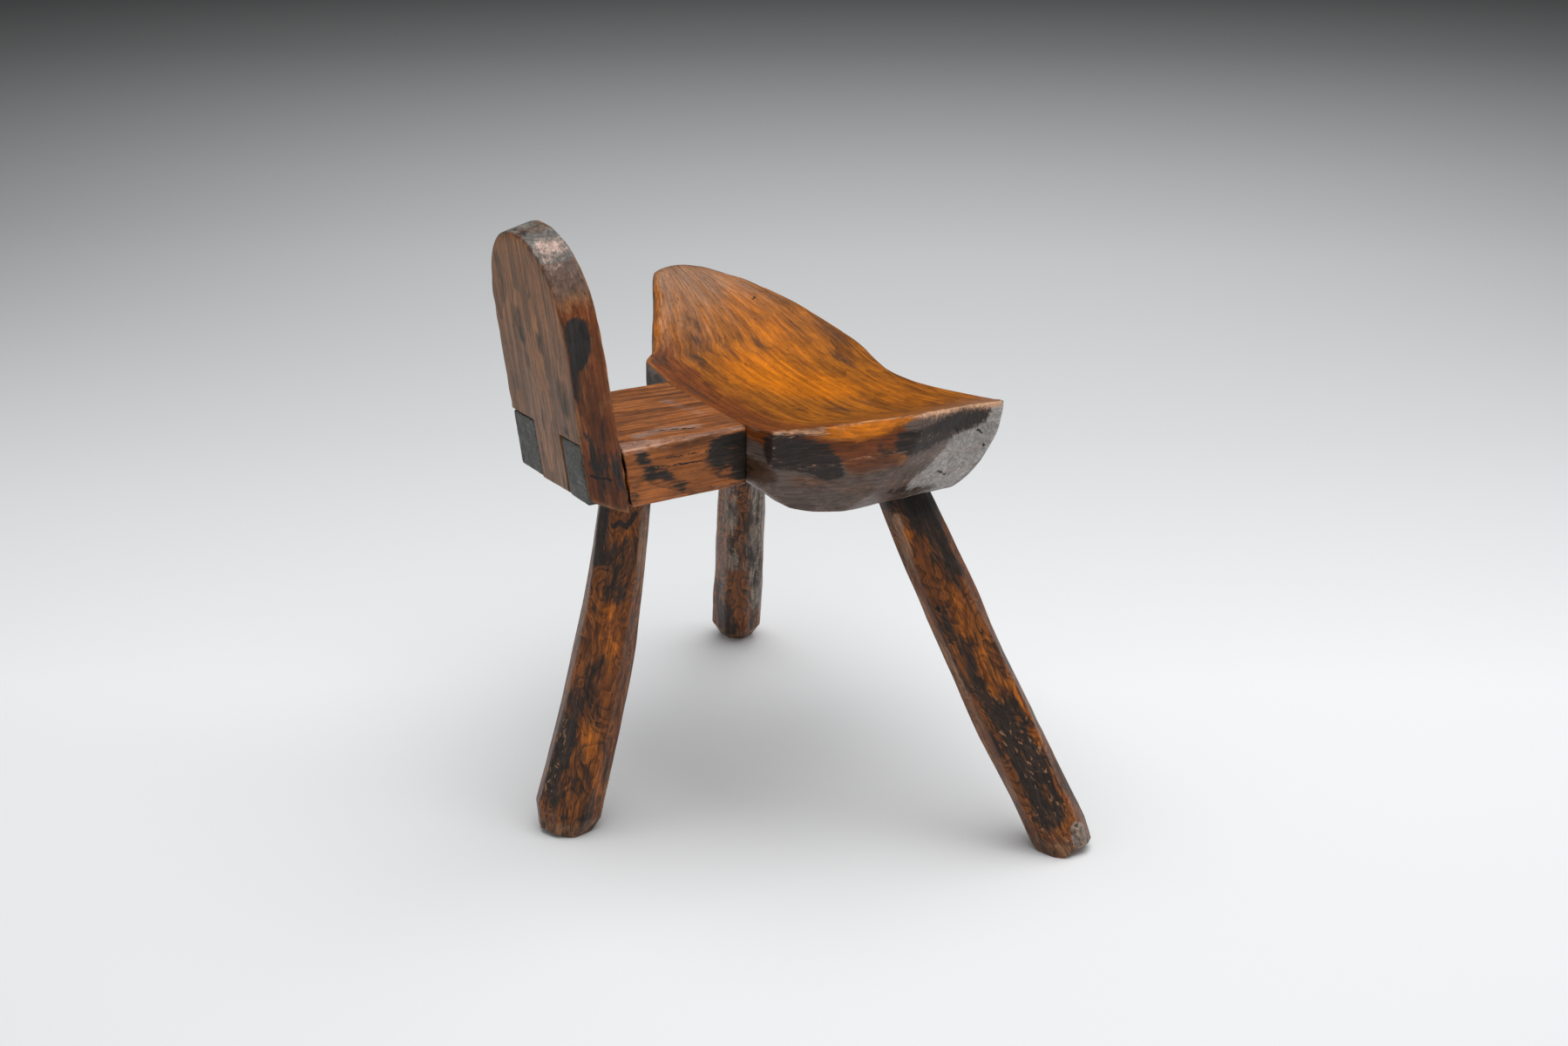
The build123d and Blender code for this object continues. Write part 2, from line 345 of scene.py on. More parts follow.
def cut_out(piece: bpy.types.Object, cutter: bpy.types.Object) -> None:
    """Takes the cutter out of the piece with an exact Boolean, applies it and removes the cutter."""
    step = piece.modifiers.new("joint", "BOOLEAN")
    step.operation, step.solver, step.object = "DIFFERENCE", "EXACT", cutter
    done = bpy.data.meshes.new_from_object(piece.evaluated_get(bpy.context.evaluated_depsgraph_get()))
    piece.modifiers.clear()
    old, piece.data = piece.data, done
    bpy.data.meshes.remove(old)
    used = cutter.data
    bpy.data.objects.remove(cutter)
    bpy.data.meshes.remove(used)


def vertices(piece: bpy.types.Object) -> Array:
    """Returns the piece's points in the seat's frame, in mm."""
    flat = np.empty(len(piece.data.vertices) * 3)
    piece.data.vertices.foreach_get("co", flat)
    return flat.reshape(-1, 3) / METRES - SEAT_ORIGIN


def set_masks(piece: bpy.types.Object, masks: dict[Mask, Array]) -> None:
    """Stores each mask on the mesh, one number per point; a mask that isn't given is 0."""
    blank = np.zeros(len(piece.data.vertices))
    for mask in Mask:
        layer = piece.data.attributes.new(mask.value, "FLOAT", "POINT")
        layer.data.foreach_set("value", np.clip(masks.get(mask, blank), 0.0, 1.0).astype(float).ravel())


def set_grain(piece: bpy.types.Object, values: Array) -> None:
    """Stores the wood's own coordinates in mm: two across the grain, then one along it."""
    layer = piece.data.attributes.new("grain", "FLOAT_VECTOR", "POINT")
    layer.data.foreach_set("vector", np.asarray(values, float).ravel())


# ---------------------------------------------------------------- hewn bodies
@dataclass
class Cut:
    """One flat cut of the adze: everything on its outer side is gone."""

    normal: Array
    offset: float

    @staticmethod
    def through(point: Sequence[float], normal: Sequence[float]) -> "Cut":
        """Returns the cut through a point, with this outward direction."""
        direction = unit(normal)
        return Cut(direction, float(direction @ np.asarray(point, float)))


def cut_depths(points: Array, cuts: Sequence[Cut]) -> Array:
    """Distance of each point outside each cut, negative inside, with the cuts along the last axis."""
    normals = np.array([c.normal for c in cuts])
    offsets = np.array([c.offset for c in cuts])
    return points @ normals.T - offsets


def march(origin: Array, ray: Array, depth: Callable[[Array], Array], reach: float, steps: int = 20) -> Array:
    """Finds where each ray leaves the body by halving the interval again and again.

    Args:
        origin: points inside the body.
        ray: unit directions.
        depth: distance outside the body, negative inside.
        reach: length at which every ray is outside.
        steps: number of halvings.

    Returns:
        The points on the surface.
    """
    near = np.zeros(origin.shape[:-1])
    far = np.full(origin.shape[:-1], reach)
    for _ in range(steps):
        middle = (near + far) / 2.0
        outside = depth(origin + ray * middle[..., None]) > 0.0
        far = np.where(outside, middle, far)
        near = np.where(outside, near, middle)
    return origin + ray * ((near + far) / 2.0)[..., None]


def level_sheet(across: Array, along: Array) -> Array:
    """Height of a flat sheet, at any place on it: 0."""
    return 0.0 * across


def oblong(half_across: float, half_along: float, power: float) -> Callable[[Array], Array]:
    """Rounded rectangle as radius over turn t: (|cos t / a|^n + |sin t / b|^n) ^ (-1 / n).

    Args:
        half_across: half its length across, a, in mm.
        half_along: half its length along, b, in mm.
        power: how square its corners are, n.

    Returns:
        The function that gives the radius at each turn.
    """
    def rim(turn: Array) -> Array:
        """Radius at each turn."""
        sides = np.abs(np.stack([np.cos(turn), np.sin(turn)], axis=-1)) / (half_across, half_along)
        return (sides**power).sum(axis=-1) ** (-1.0 / power)

    return rim


@dataclass
class Slab:
    """A thick plate described by rays that leave a sheet inside it.

    Straight rays cover its two broad faces. Round the sheet's rim the rays fan out from one face to the other.
    The sheet's rows crowd towards its middle where crowding is over 1, and towards its rim where it is under 1.
    """

    centre: Sequence[float]
    rim: Callable[[Array], Array]
    around: int
    face_rows: int
    rim_rows: int
    reach: float = 300.0
    across: Sequence[float] = (1.0, 0.0, 0.0)
    along: Sequence[float] = (0.0, 1.0, 0.0)
    up: Sequence[float] = (0.0, 0.0, 1.0)
    middle: Callable[[Array, Array], Array] = level_sheet
    crowding: float = 0.85

    def shell(self, stack: Callable[[Array], Array], softness: Callable[[Array], Array],
              waves: Callable[[Array], Array]) -> Shell:
        """Carries the rays out to the surface, twice: to the plain cuts, then to the cuts with their waves.

        The sheet's point at turn t and share s is centre + s rim(t) (cos t across + sin t along) + middle up.

        Args:
            stack: distances outside each bounding surface, along the last axis.
            softness: how rounded the arrises are at each point.
            waves: how far each bounding surface lies further in at each point.

        Returns:
            The closed grid.
        """
        turn = np.linspace(0.0, 2.0 * math.pi, self.around, endpoint=False)
        level = np.cos(turn)[:, None] * self.across + np.sin(turn)[:, None] * self.along
        share = (np.arange(1, self.face_rows + 1) / self.face_rows) ** self.crowding
        fan = np.linspace(0.0, math.pi, self.rim_rows + 2)[1:-1]
        shares = np.concatenate([share, np.ones(self.rim_rows), share[::-1]])
        tilt = np.concatenate([np.zeros(self.face_rows), fan, np.full(self.face_rows, math.pi)])
        radius = shares[:, None] * self.rim(turn)[None, :]
        sheet = self.centre + radius[..., None] * level[None]
        sheet = sheet + self.middle(radius * np.cos(turn), radius * np.sin(turn))[..., None] * self.up
        rays = np.cos(tilt)[:, None, None] * self.up + np.sin(tilt)[:, None, None] * level[None]
        plain = march(sheet, rays, lambda p: smooth_max(stack(p), 1.0), self.reach, 14)
        soft, shift = softness(plain), waves(plain)
        rows = march(sheet, rays, lambda p: smooth_max(stack(p) + shift, soft), self.reach)
        return Shell(rows, rows[0].mean(axis=0), rows[-1].mean(axis=0))

    def sawn(self, cuts: Sequence[Cut], waves: Callable[[Array], Array]) -> Shell:
        """Carries the rays out to flat cuts alone, which meet in sawn arrises.

        Args:
            cuts: the flat cuts.
            waves: how far each cut lies further in at each point.

        Returns:
            The closed grid.
        """
        return self.shell(lambda p: cut_depths(p, cuts), lambda p: np.full(p.shape[:-1], SAWN_ARRIS), waves)


def dressed(piece: bpy.types.Object, slot: Finish, *nodes: str) -> bpy.types.Object:
    """Puts the piece in the place of its CAD nodes and fastens it to the stool."""
    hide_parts(*nodes)
    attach(piece, "root")
    piece.data.set_sharp_from_angle(angle=math.radians(SHARP_ANGLE))
    return piece


# ---------------------------------------------------------------- seat
@dataclass
class Seat:
    """The thick slab, hollowed from wing to wing and hewn in flat cuts underneath."""

    depth: float = 204.0
    wing_tip: tuple[float, float] = (96.0, 231.5)
    back_face_half: float = 111.5
    wing_root: tuple[float, float] = (13.5, 123.0)
    wing_back_tip: tuple[float, float] = (73.0, 226.5)
    underside: float = 297.7
    tongue_underside: float = 315.5
    back_bevel: tuple[float, float] = (22.5, 19.5)
    fall: float = 8.0
    hub: tuple[float, float] = (100.0, 0.0)
    hollow: Path = (
        (0.0, 363.0), (70.0, 366.5), (107.0, 373.5), (145.0, 385.2), (181.0, 398.0), (215.0, 411.5), (262.0, 434.0),
    )
    under_wing: Path = (
        (118.0, 297.7), (147.5, 303.4), (185.0, 335.5), (210.0, 364.0), (225.0, 388.0), (238.0, 430.0),
    )
    under_nose: Path = ((150.0, 296.0), (186.0, 306.0), (206.0, 321.0), (224.0, 342.0))
    bowl_x: float = -10.0
    bowl: Path = (
        (212.0, 290.0), (244.0, 324.0), (264.0, 355.0), (282.0, 385.0), (292.0, 440.0),
    )
    left_front: Path = (
        (127.0, 223.5), (151.0, 207.5), (173.4, 183.6), (190.0, 159.2), (202.2, 128.8), (211.2, 96.4), (207.8, 54.0),
    )
    right_front: Path = (
        (138.0, 230.0), (163.5, 216.0), (187.0, 184.0), (206.4, 143.0), (219.6, 110.0), (221.8, 84.0), (214.0, 45.0),
    )
    bevel_root_z: float = 340.0
    bevel_tip_z: float = 380.0
    bevel_lean: float = 23.0
    tip_facets: Sequence[tuple[Point, Point]] = (
        ((165.0, -212.4, 390.3), (0.789, -0.603, -0.118)), ((161.4, -212.6, 378.3), (0.714, -0.632, -0.302)),
        ((159.6, -204.8, 360.7), (0.639, -0.637, -0.431)), ((157.4, -192.8, 342.4), (0.549, -0.629, -0.551)),
        ((151.6, -180.8, 325.6), (0.439, -0.605, -0.664)), ((141.8, -167.4, 307.1), (0.22, -0.529, -0.82)),
    )
    left_rub: Path = ((105.0, 1.5), (124.0, 4.0), (150.0, 7.0), (198.0, 6.5), (222.0, -1.0))
    right_rub: Path = (
        (104.0, 3.5), (118.0, 5.0), (140.0, 7.0), (158.0, 11.0), (176.0, 14.0), (200.0, 11.0), (218.0, 4.0),
    )
    front_rub: tuple[float, float] = (0.4, 4.2)
    dish: Curve = field(init=False)
    front: Curve = field(init=False)
    cuts: list[Cut] = field(init=False)
    wing_backs: list[tuple[Cut, Cut]] = field(init=False)

    def __post_init__(self) -> None:
        """Works out the hollow's curve, the front edge as radius over turn, and the lists of cuts."""
        half = list(self.hollow)
        self.dish = Curve([(-y, z) for y, z in reversed(half[1:])] + half)
        self.front = Curve(self.front_edge())
        self.cuts = self.flat_cuts()
        self.wing_backs = [self.wing_back(side) for side in (1.0, -1.0)]

    def front_edge(self) -> list[tuple[float, float]]:
        """Returns (turn, radius) round the hub, from the right wing's back corner to the left one's."""
        left = [self.wing_back_tip, self.wing_tip, *self.left_front]
        right = [self.wing_back_tip, self.wing_tip, *self.right_front]
        outline = [(x, -y) for x, y in right] + [(self.depth, 0.0)] + [(x, y) for x, y in reversed(left)]
        return [(math.atan2(y, x - self.hub[0]), math.hypot(x - self.hub[0], y)) for x, y in outline]

    def wing_back(self, side: float) -> tuple[Cut, Cut]:
        """Returns the corner facet beside the back face and the wing's back, which meet in an inner corner."""
        corner = np.array(self.wing_root) - (0.0, self.back_face_half)
        reach = np.array(self.wing_back_tip) - np.array(self.wing_root)
        root = (self.wing_root[0], side * self.wing_root[1], 0.0)
        return (Cut.through(root, (-corner[1], side * corner[0], 0.0)),
                Cut.through(root, (-reach[1], side * reach[0], 0.0)))

    def flat_cuts(self) -> list[Cut]:
        """Returns the flat cuts: back, underside, bevels and the facets under the wings and the nose."""
        run, rise = self.back_bevel
        cuts = [
            Cut.through((0.0, 0.0, 0.0), (-1.0, 0.0, 0.0)),
            Cut.through((0.0, 0.0, self.underside), (0.0, 0.0, -1.0)),
            Cut.through((0.0, 0.0, self.tongue_underside), (-rise, 0.0, -run)),
        ]
        for (x0, z0), (x1, z1) in zip(self.under_nose, self.under_nose[1:]):
            cuts.append(Cut.through((x0, 0.0, z0), (z1 - z0, 0.0, x0 - x1)))
        lean = math.radians(self.bevel_lean)
        for side in (1.0, -1.0):
            for (y0, z0), (y1, z1) in zip(self.under_wing, self.under_wing[1:]):
                cuts.append(Cut.through((0.0, side * y0, z0), (0.0, side * (z1 - z0), y0 - y1)))
            reach = np.array(self.wing_back_tip) - np.array(self.wing_root)
            level = unit((-reach[1], side * reach[0], 0.0))
            root = (self.wing_root[0], side * self.wing_root[1], self.bevel_root_z)
            along = unit((reach[0], side * reach[1], self.bevel_tip_z - self.bevel_root_z))
            leaning = level * math.cos(lean) - np.array([0.0, 0.0, math.sin(lean)])
            cuts.append(Cut.through(root, leaning - along * (leaning @ along)))
        return cuts + [Cut.through(place, facing) for place, facing in self.tip_facets]

    def rubs(self, points: Array, top: Array, edge: Array, backs: Sequence[Array]) -> list[Array]:
        """Distances outside the rubbed arrises: along the left and right wing's back, then along the front.

        Such an arris is (a + b + width) / sqrt 2, where a and b are the distances outside the surfaces it joins.
        """
        y = points[..., 1]
        widths = [np.interp(side * y, *zip(*rub)) for side, rub in ((1.0, self.left_rub), (-1.0, self.right_rub))]
        widths.append(self.front_rub[0] + (self.front_rub[1] - self.front_rub[0]) * smooth_step(-y, 188.0, 212.0))
        return [(top + other + width) / math.sqrt(2.0) for other, width in zip([*backs, edge], widths)]

    def stack(self, points: Array) -> Array:
        """Distances outside every bounding surface.

        The order is: the hollow, the front edge, the left and right wing's back, the bowl, the flat cuts, and last
        the rubbed arrises of the left wing, the right wing and the front.
        """
        x, y, z = points[..., 0], points[..., 1], points[..., 2]
        slope = (self.dish(y + 1.0) - self.dish(y - 1.0)) / 2.0
        top = (z - self.dish(y) + self.fall * x / self.depth) / np.sqrt(1.0 + slope**2)
        turn = np.arctan2(y, x - self.hub[0])
        edge = (np.hypot(x - self.hub[0], y) - self.front(turn)) * 0.97
        radius = np.hypot(x - self.bowl_x, y)
        round_cuts = []
        for (r0, z0), (r1, z1) in zip(self.bowl, self.bowl[1:]):
            length = math.hypot(r1 - r0, z1 - z0)
            round_cuts.append(((radius - r0) * (z1 - z0) - (z - z0) * (r1 - r0)) / length)
        backs = [-smooth_max(-cut_depths(points, pair), 1.0) for pair in self.wing_backs]
        rubbed = np.stack(self.rubs(points, top, edge, backs), axis=-1)
        return np.concatenate(
            [np.stack([top, edge, *backs, *round_cuts], axis=-1), cut_depths(points, self.cuts), rubbed], axis=-1
        )

    def middle(self, a: Array, b: Array) -> Array:
        """Height of the sheet inside the seat: halfway between the hollow and the facets under the wings."""
        ys, zs = zip(*self.under_wing)
        low = np.interp(np.abs(b), ys, zs)
        return (self.dish(b) - self.fall * (a + self.hub[0]) / self.depth + low) / 2.0

    def rim(self, turn: Array) -> Array:
        """Radius of the sheet's rim: a fixed share of the outline seen from above."""
        heading = np.stack([np.cos(turn), np.sin(turn), 0.0 * turn], axis=-1)

        def reach(cut: Cut) -> Array:
            """Distance from the hub to the cut's plane along each heading."""
            towards = heading @ cut.normal
            room = cut.offset - float(cut.normal[:2] @ np.array(self.hub))
            return np.where(towards > 1e-6, room / np.where(towards > 1e-6, towards, 1.0), 1e9)

        outline = [reach(self.cuts[0]), self.front(np.arctan2(heading[..., 1], heading[..., 0]))]
        outline += [np.maximum(reach(corner), reach(wing)) for corner, wing in self.wing_backs]
        return np.minimum.reduce(outline) * 0.82 - 4.0

    def softness(self, points: Array) -> Array:
        """Radius of the worn arrises: crisp at the back face, round under the hands along the wings' back edges."""
        y = np.abs(points[..., 1])
        x, z = points[..., 0], points[..., 2]
        held = smooth_step(y, 110.0, 150.0) * (1.0 - smooth_step(x, 60.0, 110.0)) * smooth_step(z, 345.0, 375.0)
        return 0.75 + 0.5 * held + 0.3 * smooth_step(x, 120.0, 200.0) * smooth_step(z, 330.0, 350.0)

    def waves(self, points: Array) -> Array:
        """Unevenness of each surface: the hollow rolls softly, the hewn cuts are rougher and each has its own."""
        count = self.stack(points[..., :1, :]).shape[-1]
        shifts = np.empty((*points.shape[:-1], count))
        fine = 0.1 * layered_noise(points, 15.0, 11, 2) + 1.2 * scoops(points * (1.0, 0.8, 1.0), 34.0, 12) - 0.35
        for k in range(count):
            shifts[..., k] = 0.4 * noise(points + 97.0 * k, 40.0, 3) + fine
        shifts[..., 0] = 0.1 + 0.25 * layered_noise(points * (1.0, 0.5, 1.0), 42.0, 5, 2)
        shifts[..., 1] = np.maximum(-0.2 + 0.4 * noise(points, 22.0, 9), -0.4)
        for k in (-3, -2):
            shifts[..., k] = 0.5 + 0.9 * noise(points + 59.0 * k, 10.0, 15)
        shifts[..., -1] = 0.2 + 0.5 * noise(points, 9.0, 16)
        return shifts

    def build(self) -> bpy.types.Object:
        """Makes the seat's mesh and its masks."""
        slab = Slab((*self.hub, 0.0), self.rim, around=520, face_rows=62, rim_rows=58, middle=self.middle)
        piece = mesh_object("carved_seat", [slab.shell(self.stack, self.softness, self.waves)])
        points = vertices(piece)
        self.paint(piece, points)
        return dressed(piece, Finish.SEAT, "seat")

    def grain_across(self, points: Array) -> Array:
        """Place across the grain in mm: the share of the way from the back edge to the front edge, times 205.

        The fibres' streaks so draw together towards both wing tips.
        """
        x, y = points[..., 0], np.abs(points[..., 1])
        back = np.interp(y, (0.0, 107.0, 121.0, 224.0), (0.0, 0.0, 15.0, 75.0))
        front = np.interp(y, (0.0, 96.0, 128.0, 158.0, 182.0, 206.0, 226.0),
                          (206.0, 212.0, 202.0, 189.0, 174.0, 154.0, 128.0))
        return 0.3 * x + 0.7 * 205.0 * (x - back) / (front - back)

    def paint(self, piece: bpy.types.Object, points: Array) -> None:
        """Stores the grain, which runs from wing to wing, where the wood is worn, greyed and blackened, and where
        shade, sheen and the lamp's reflection are painted on.
        """
        x, y, z = points[..., 0], points[..., 1], points[..., 2]
        stack = self.stack(points)
        top = share_of(stack, 0, 1.2)
        left_rub, right_rub, front_rub = (share_of(stack, k, 1.2) for k in (-3, -2, -1))
        band = right_rub * smooth_step(-y, 138.0, 152.0) * (1.0 - smooth_step(-y, 214.0, 224.0))
        side = np.clip(1.0 - top - left_rub - band, 0.0, 1.0)
        rolled = points * (1.0, 0.35, 1.0)
        flow = 7.0 * noise(rolled, 70.0, 21) + 3.0 * noise(rolled, 26.0, 22)
        across = self.grain_across(points) + flow
        set_grain(piece, np.stack([across, (z - 0.8 * self.dish(y)) * 1.5, y], axis=-1))
        amber = top * stained(points, [
            Stain((88.0, 58.0, 365.0), (58.0, 78.0, 60.0), 1.0, 0.1),
            Stain((116.0, 4.0, 365.0), (60.0, 56.0, 60.0), 0.95, 0.1),
            Stain((140.0, 110.0, 375.0), (50.0, 110.0, 60.0), 0.55, 0.1),
            Stain((160.0, -60.0, 365.0), (60.0, 110.0, 60.0), 0.42, 0.1),
        ])
        rust = np.maximum(side * stained(points, [
            Stroke(((16.0, -126.0, 366.0), (30.0, -146.0, 365.0), (40.0, -163.0, 367.0), (50.0, -182.0, 375.0),
                    (58.0, -196.0, 382.0), (65.0, -207.0, 391.0)), 11.0, 1.0, 0.6),
            Stroke(((44.0, -172.0, 356.0), (62.0, -203.0, 372.0)), 22.0, 0.8, 0.2),
            Stroke(((0.0, -70.0, 366.0), (0.0, -108.0, 366.0)), 16.0, 0.9, 0.3),
            Stroke(((20.0, -120.0, 330.0), (60.0, -170.0, 334.0)), 18.0, 0.35, 0.0),
        ]), top * (1.0 - smooth_step(self.grain_across(points), 14.0, 52.0)) * (1.0 - smooth_step(y, 100.0, 170.0)))
        # Silver end grain on the near wing's tip facets, partly a painted sheen.
        end = side * stained(points, [
            Stroke(((128.0, -160.0, 318.0), (122.0, -187.0, 340.0), (132.0, -204.0, 359.0), (137.0, -221.0, 383.0),
                    (158.0, -217.0, 396.0)), 37.0, 1.0, 0.6),
            Stain((150.0, 200.0, 372.0), (60.0, 60.0, 40.0), 0.8, 0.4),
        ])
        char = side * stained(points, [
            Stroke(((6.0, -112.0, 356.0), (18.0, -128.0, 356.0), (29.0, -146.0, 352.0)), 24.0, 1.0, 0.45),
            Stroke(((31.0, -148.0, 362.0), (36.0, -156.0, 344.0)), 11.0, 0.8, 0.1),
            Stroke(((70.0, -216.0, 384.0), (93.0, -226.0, 392.0), (110.0, -228.0, 398.0), (130.0, -228.0, 403.0)),
                   17.0, 1.0, 0.5),
            Stroke(((60.0, -196.0, 372.0), (84.0, -210.0, 380.0)), 15.0, 0.5, 0.2),
            Stroke(((84.0, -176.0, 320.0), (110.0, -168.0, 316.0)), 16.0, 0.7, 0.1),
            Stain((6.0, 112.0, 345.0), (18.0, 22.0, 40.0), 0.9, 0.5),
            Stain((0.0, 85.0, 340.0), (10.0, 22.0, 40.0), 0.8, 0.5),
        ])
        smudges = top * stained(points, [
            Stain((62.0, 124.0, 376.0), (10.0, 34.0, 30.0), 0.55, 0.1),
            Stain((74.0, 150.0, 384.0), (8.0, 26.0, 30.0), 0.5, 0.1),
            Stain((46.0, 96.0, 370.0), (12.0, 36.0, 30.0), 0.5, 0.1),
            Stain((84.0, 106.0, 370.0), (9.0, 40.0, 30.0), 0.45, 0.1),
            Stain((117.0, 106.0, 368.0), (9.0, 30.0, 30.0), 0.5, 0.1),
            Stain((175.0, 60.0, 358.0), (12.0, 40.0, 30.0), 0.5, 0.1),
            Stain((98.0, -66.0, 362.0), (12.0, 34.0, 30.0), 0.5, 0.1),
            Stain((130.0, -60.0, 360.0), (9.0, 40.0, 30.0), 0.45, 0.1),
            Stain((160.0, -150.0, 380.0), (14.0, 60.0, 30.0), 0.45, 0.1),
            Stain((10.0, 108.0, 372.0), (18.0, 26.0, 20.0), 0.6, 0.2),
            Stain((10.0, 30.0, 366.0), (10.0, 60.0, 20.0), 0.45, 0.1),
            Stain((196.0, 110.0, 372.0), (12.0, 60.0, 40.0), 0.5, 0.1),
        ])
        # The pale line where the dish meets the right wing's band (top * band) is worn wood and a painted highlight.
        pale = np.maximum.reduce([
            0.62 * right_rub * (1.0 - smooth_step(-y, 138.0, 156.0)), 1.4 * front_rub * smooth_step(-y, 190.0, 205.0),
            1.3 * top * left_rub, 1.8 * top * band, arris_of(stack, 1.2) * side * 0.22,
        ])
        set_masks(piece, {
            # Painted reflection: the milky layer on the far wing's upper dish is the lamp's sheen; along the near
            # wing's rubbed arris it is milky wax.
            Mask.WAX_SHEEN: np.maximum(0.74 * top * smooth_step(y - 0.4 * x, 60.0, 190.0), 0.7 * right_rub * (1.0 - band)),
            Mask.AMBER: np.maximum.reduce([amber, 0.85 * band, 0.8 * left_rub]), Mask.RUST: rust,
            # The grey layer on the seat's sides is partly a painted sheen.
            Mask.ASH_SHEEN: side * (1.0 - right_rub) * (1.0 - rust), Mask.END: end, Mask.CHAR: char, Mask.PALE: pale,
            Mask.SHADE: np.maximum.reduce([
                # Dark smudges of dirt on the dish, the left rub's mottling, and the sides darker towards the bottom.
                smudges, 0.42 * left_rub, 0.4 * side * smooth_step(-z, -312.0, -296.0),
                # Painted shade above the near leg, where it meets the seat; the stroke darkens the back face's lower
                # strip beside the tongue.
                side * stained(points, [Stain((112.0, -158.0, 311.0), (30.0, 26.0, 22.0), 0.7, 0.3),
                                        Stroke(((0.0, -70.0, 330.0), (0.0, -100.0, 330.0)), 16.0, 0.8, 0.3)]),
            ]),
        })


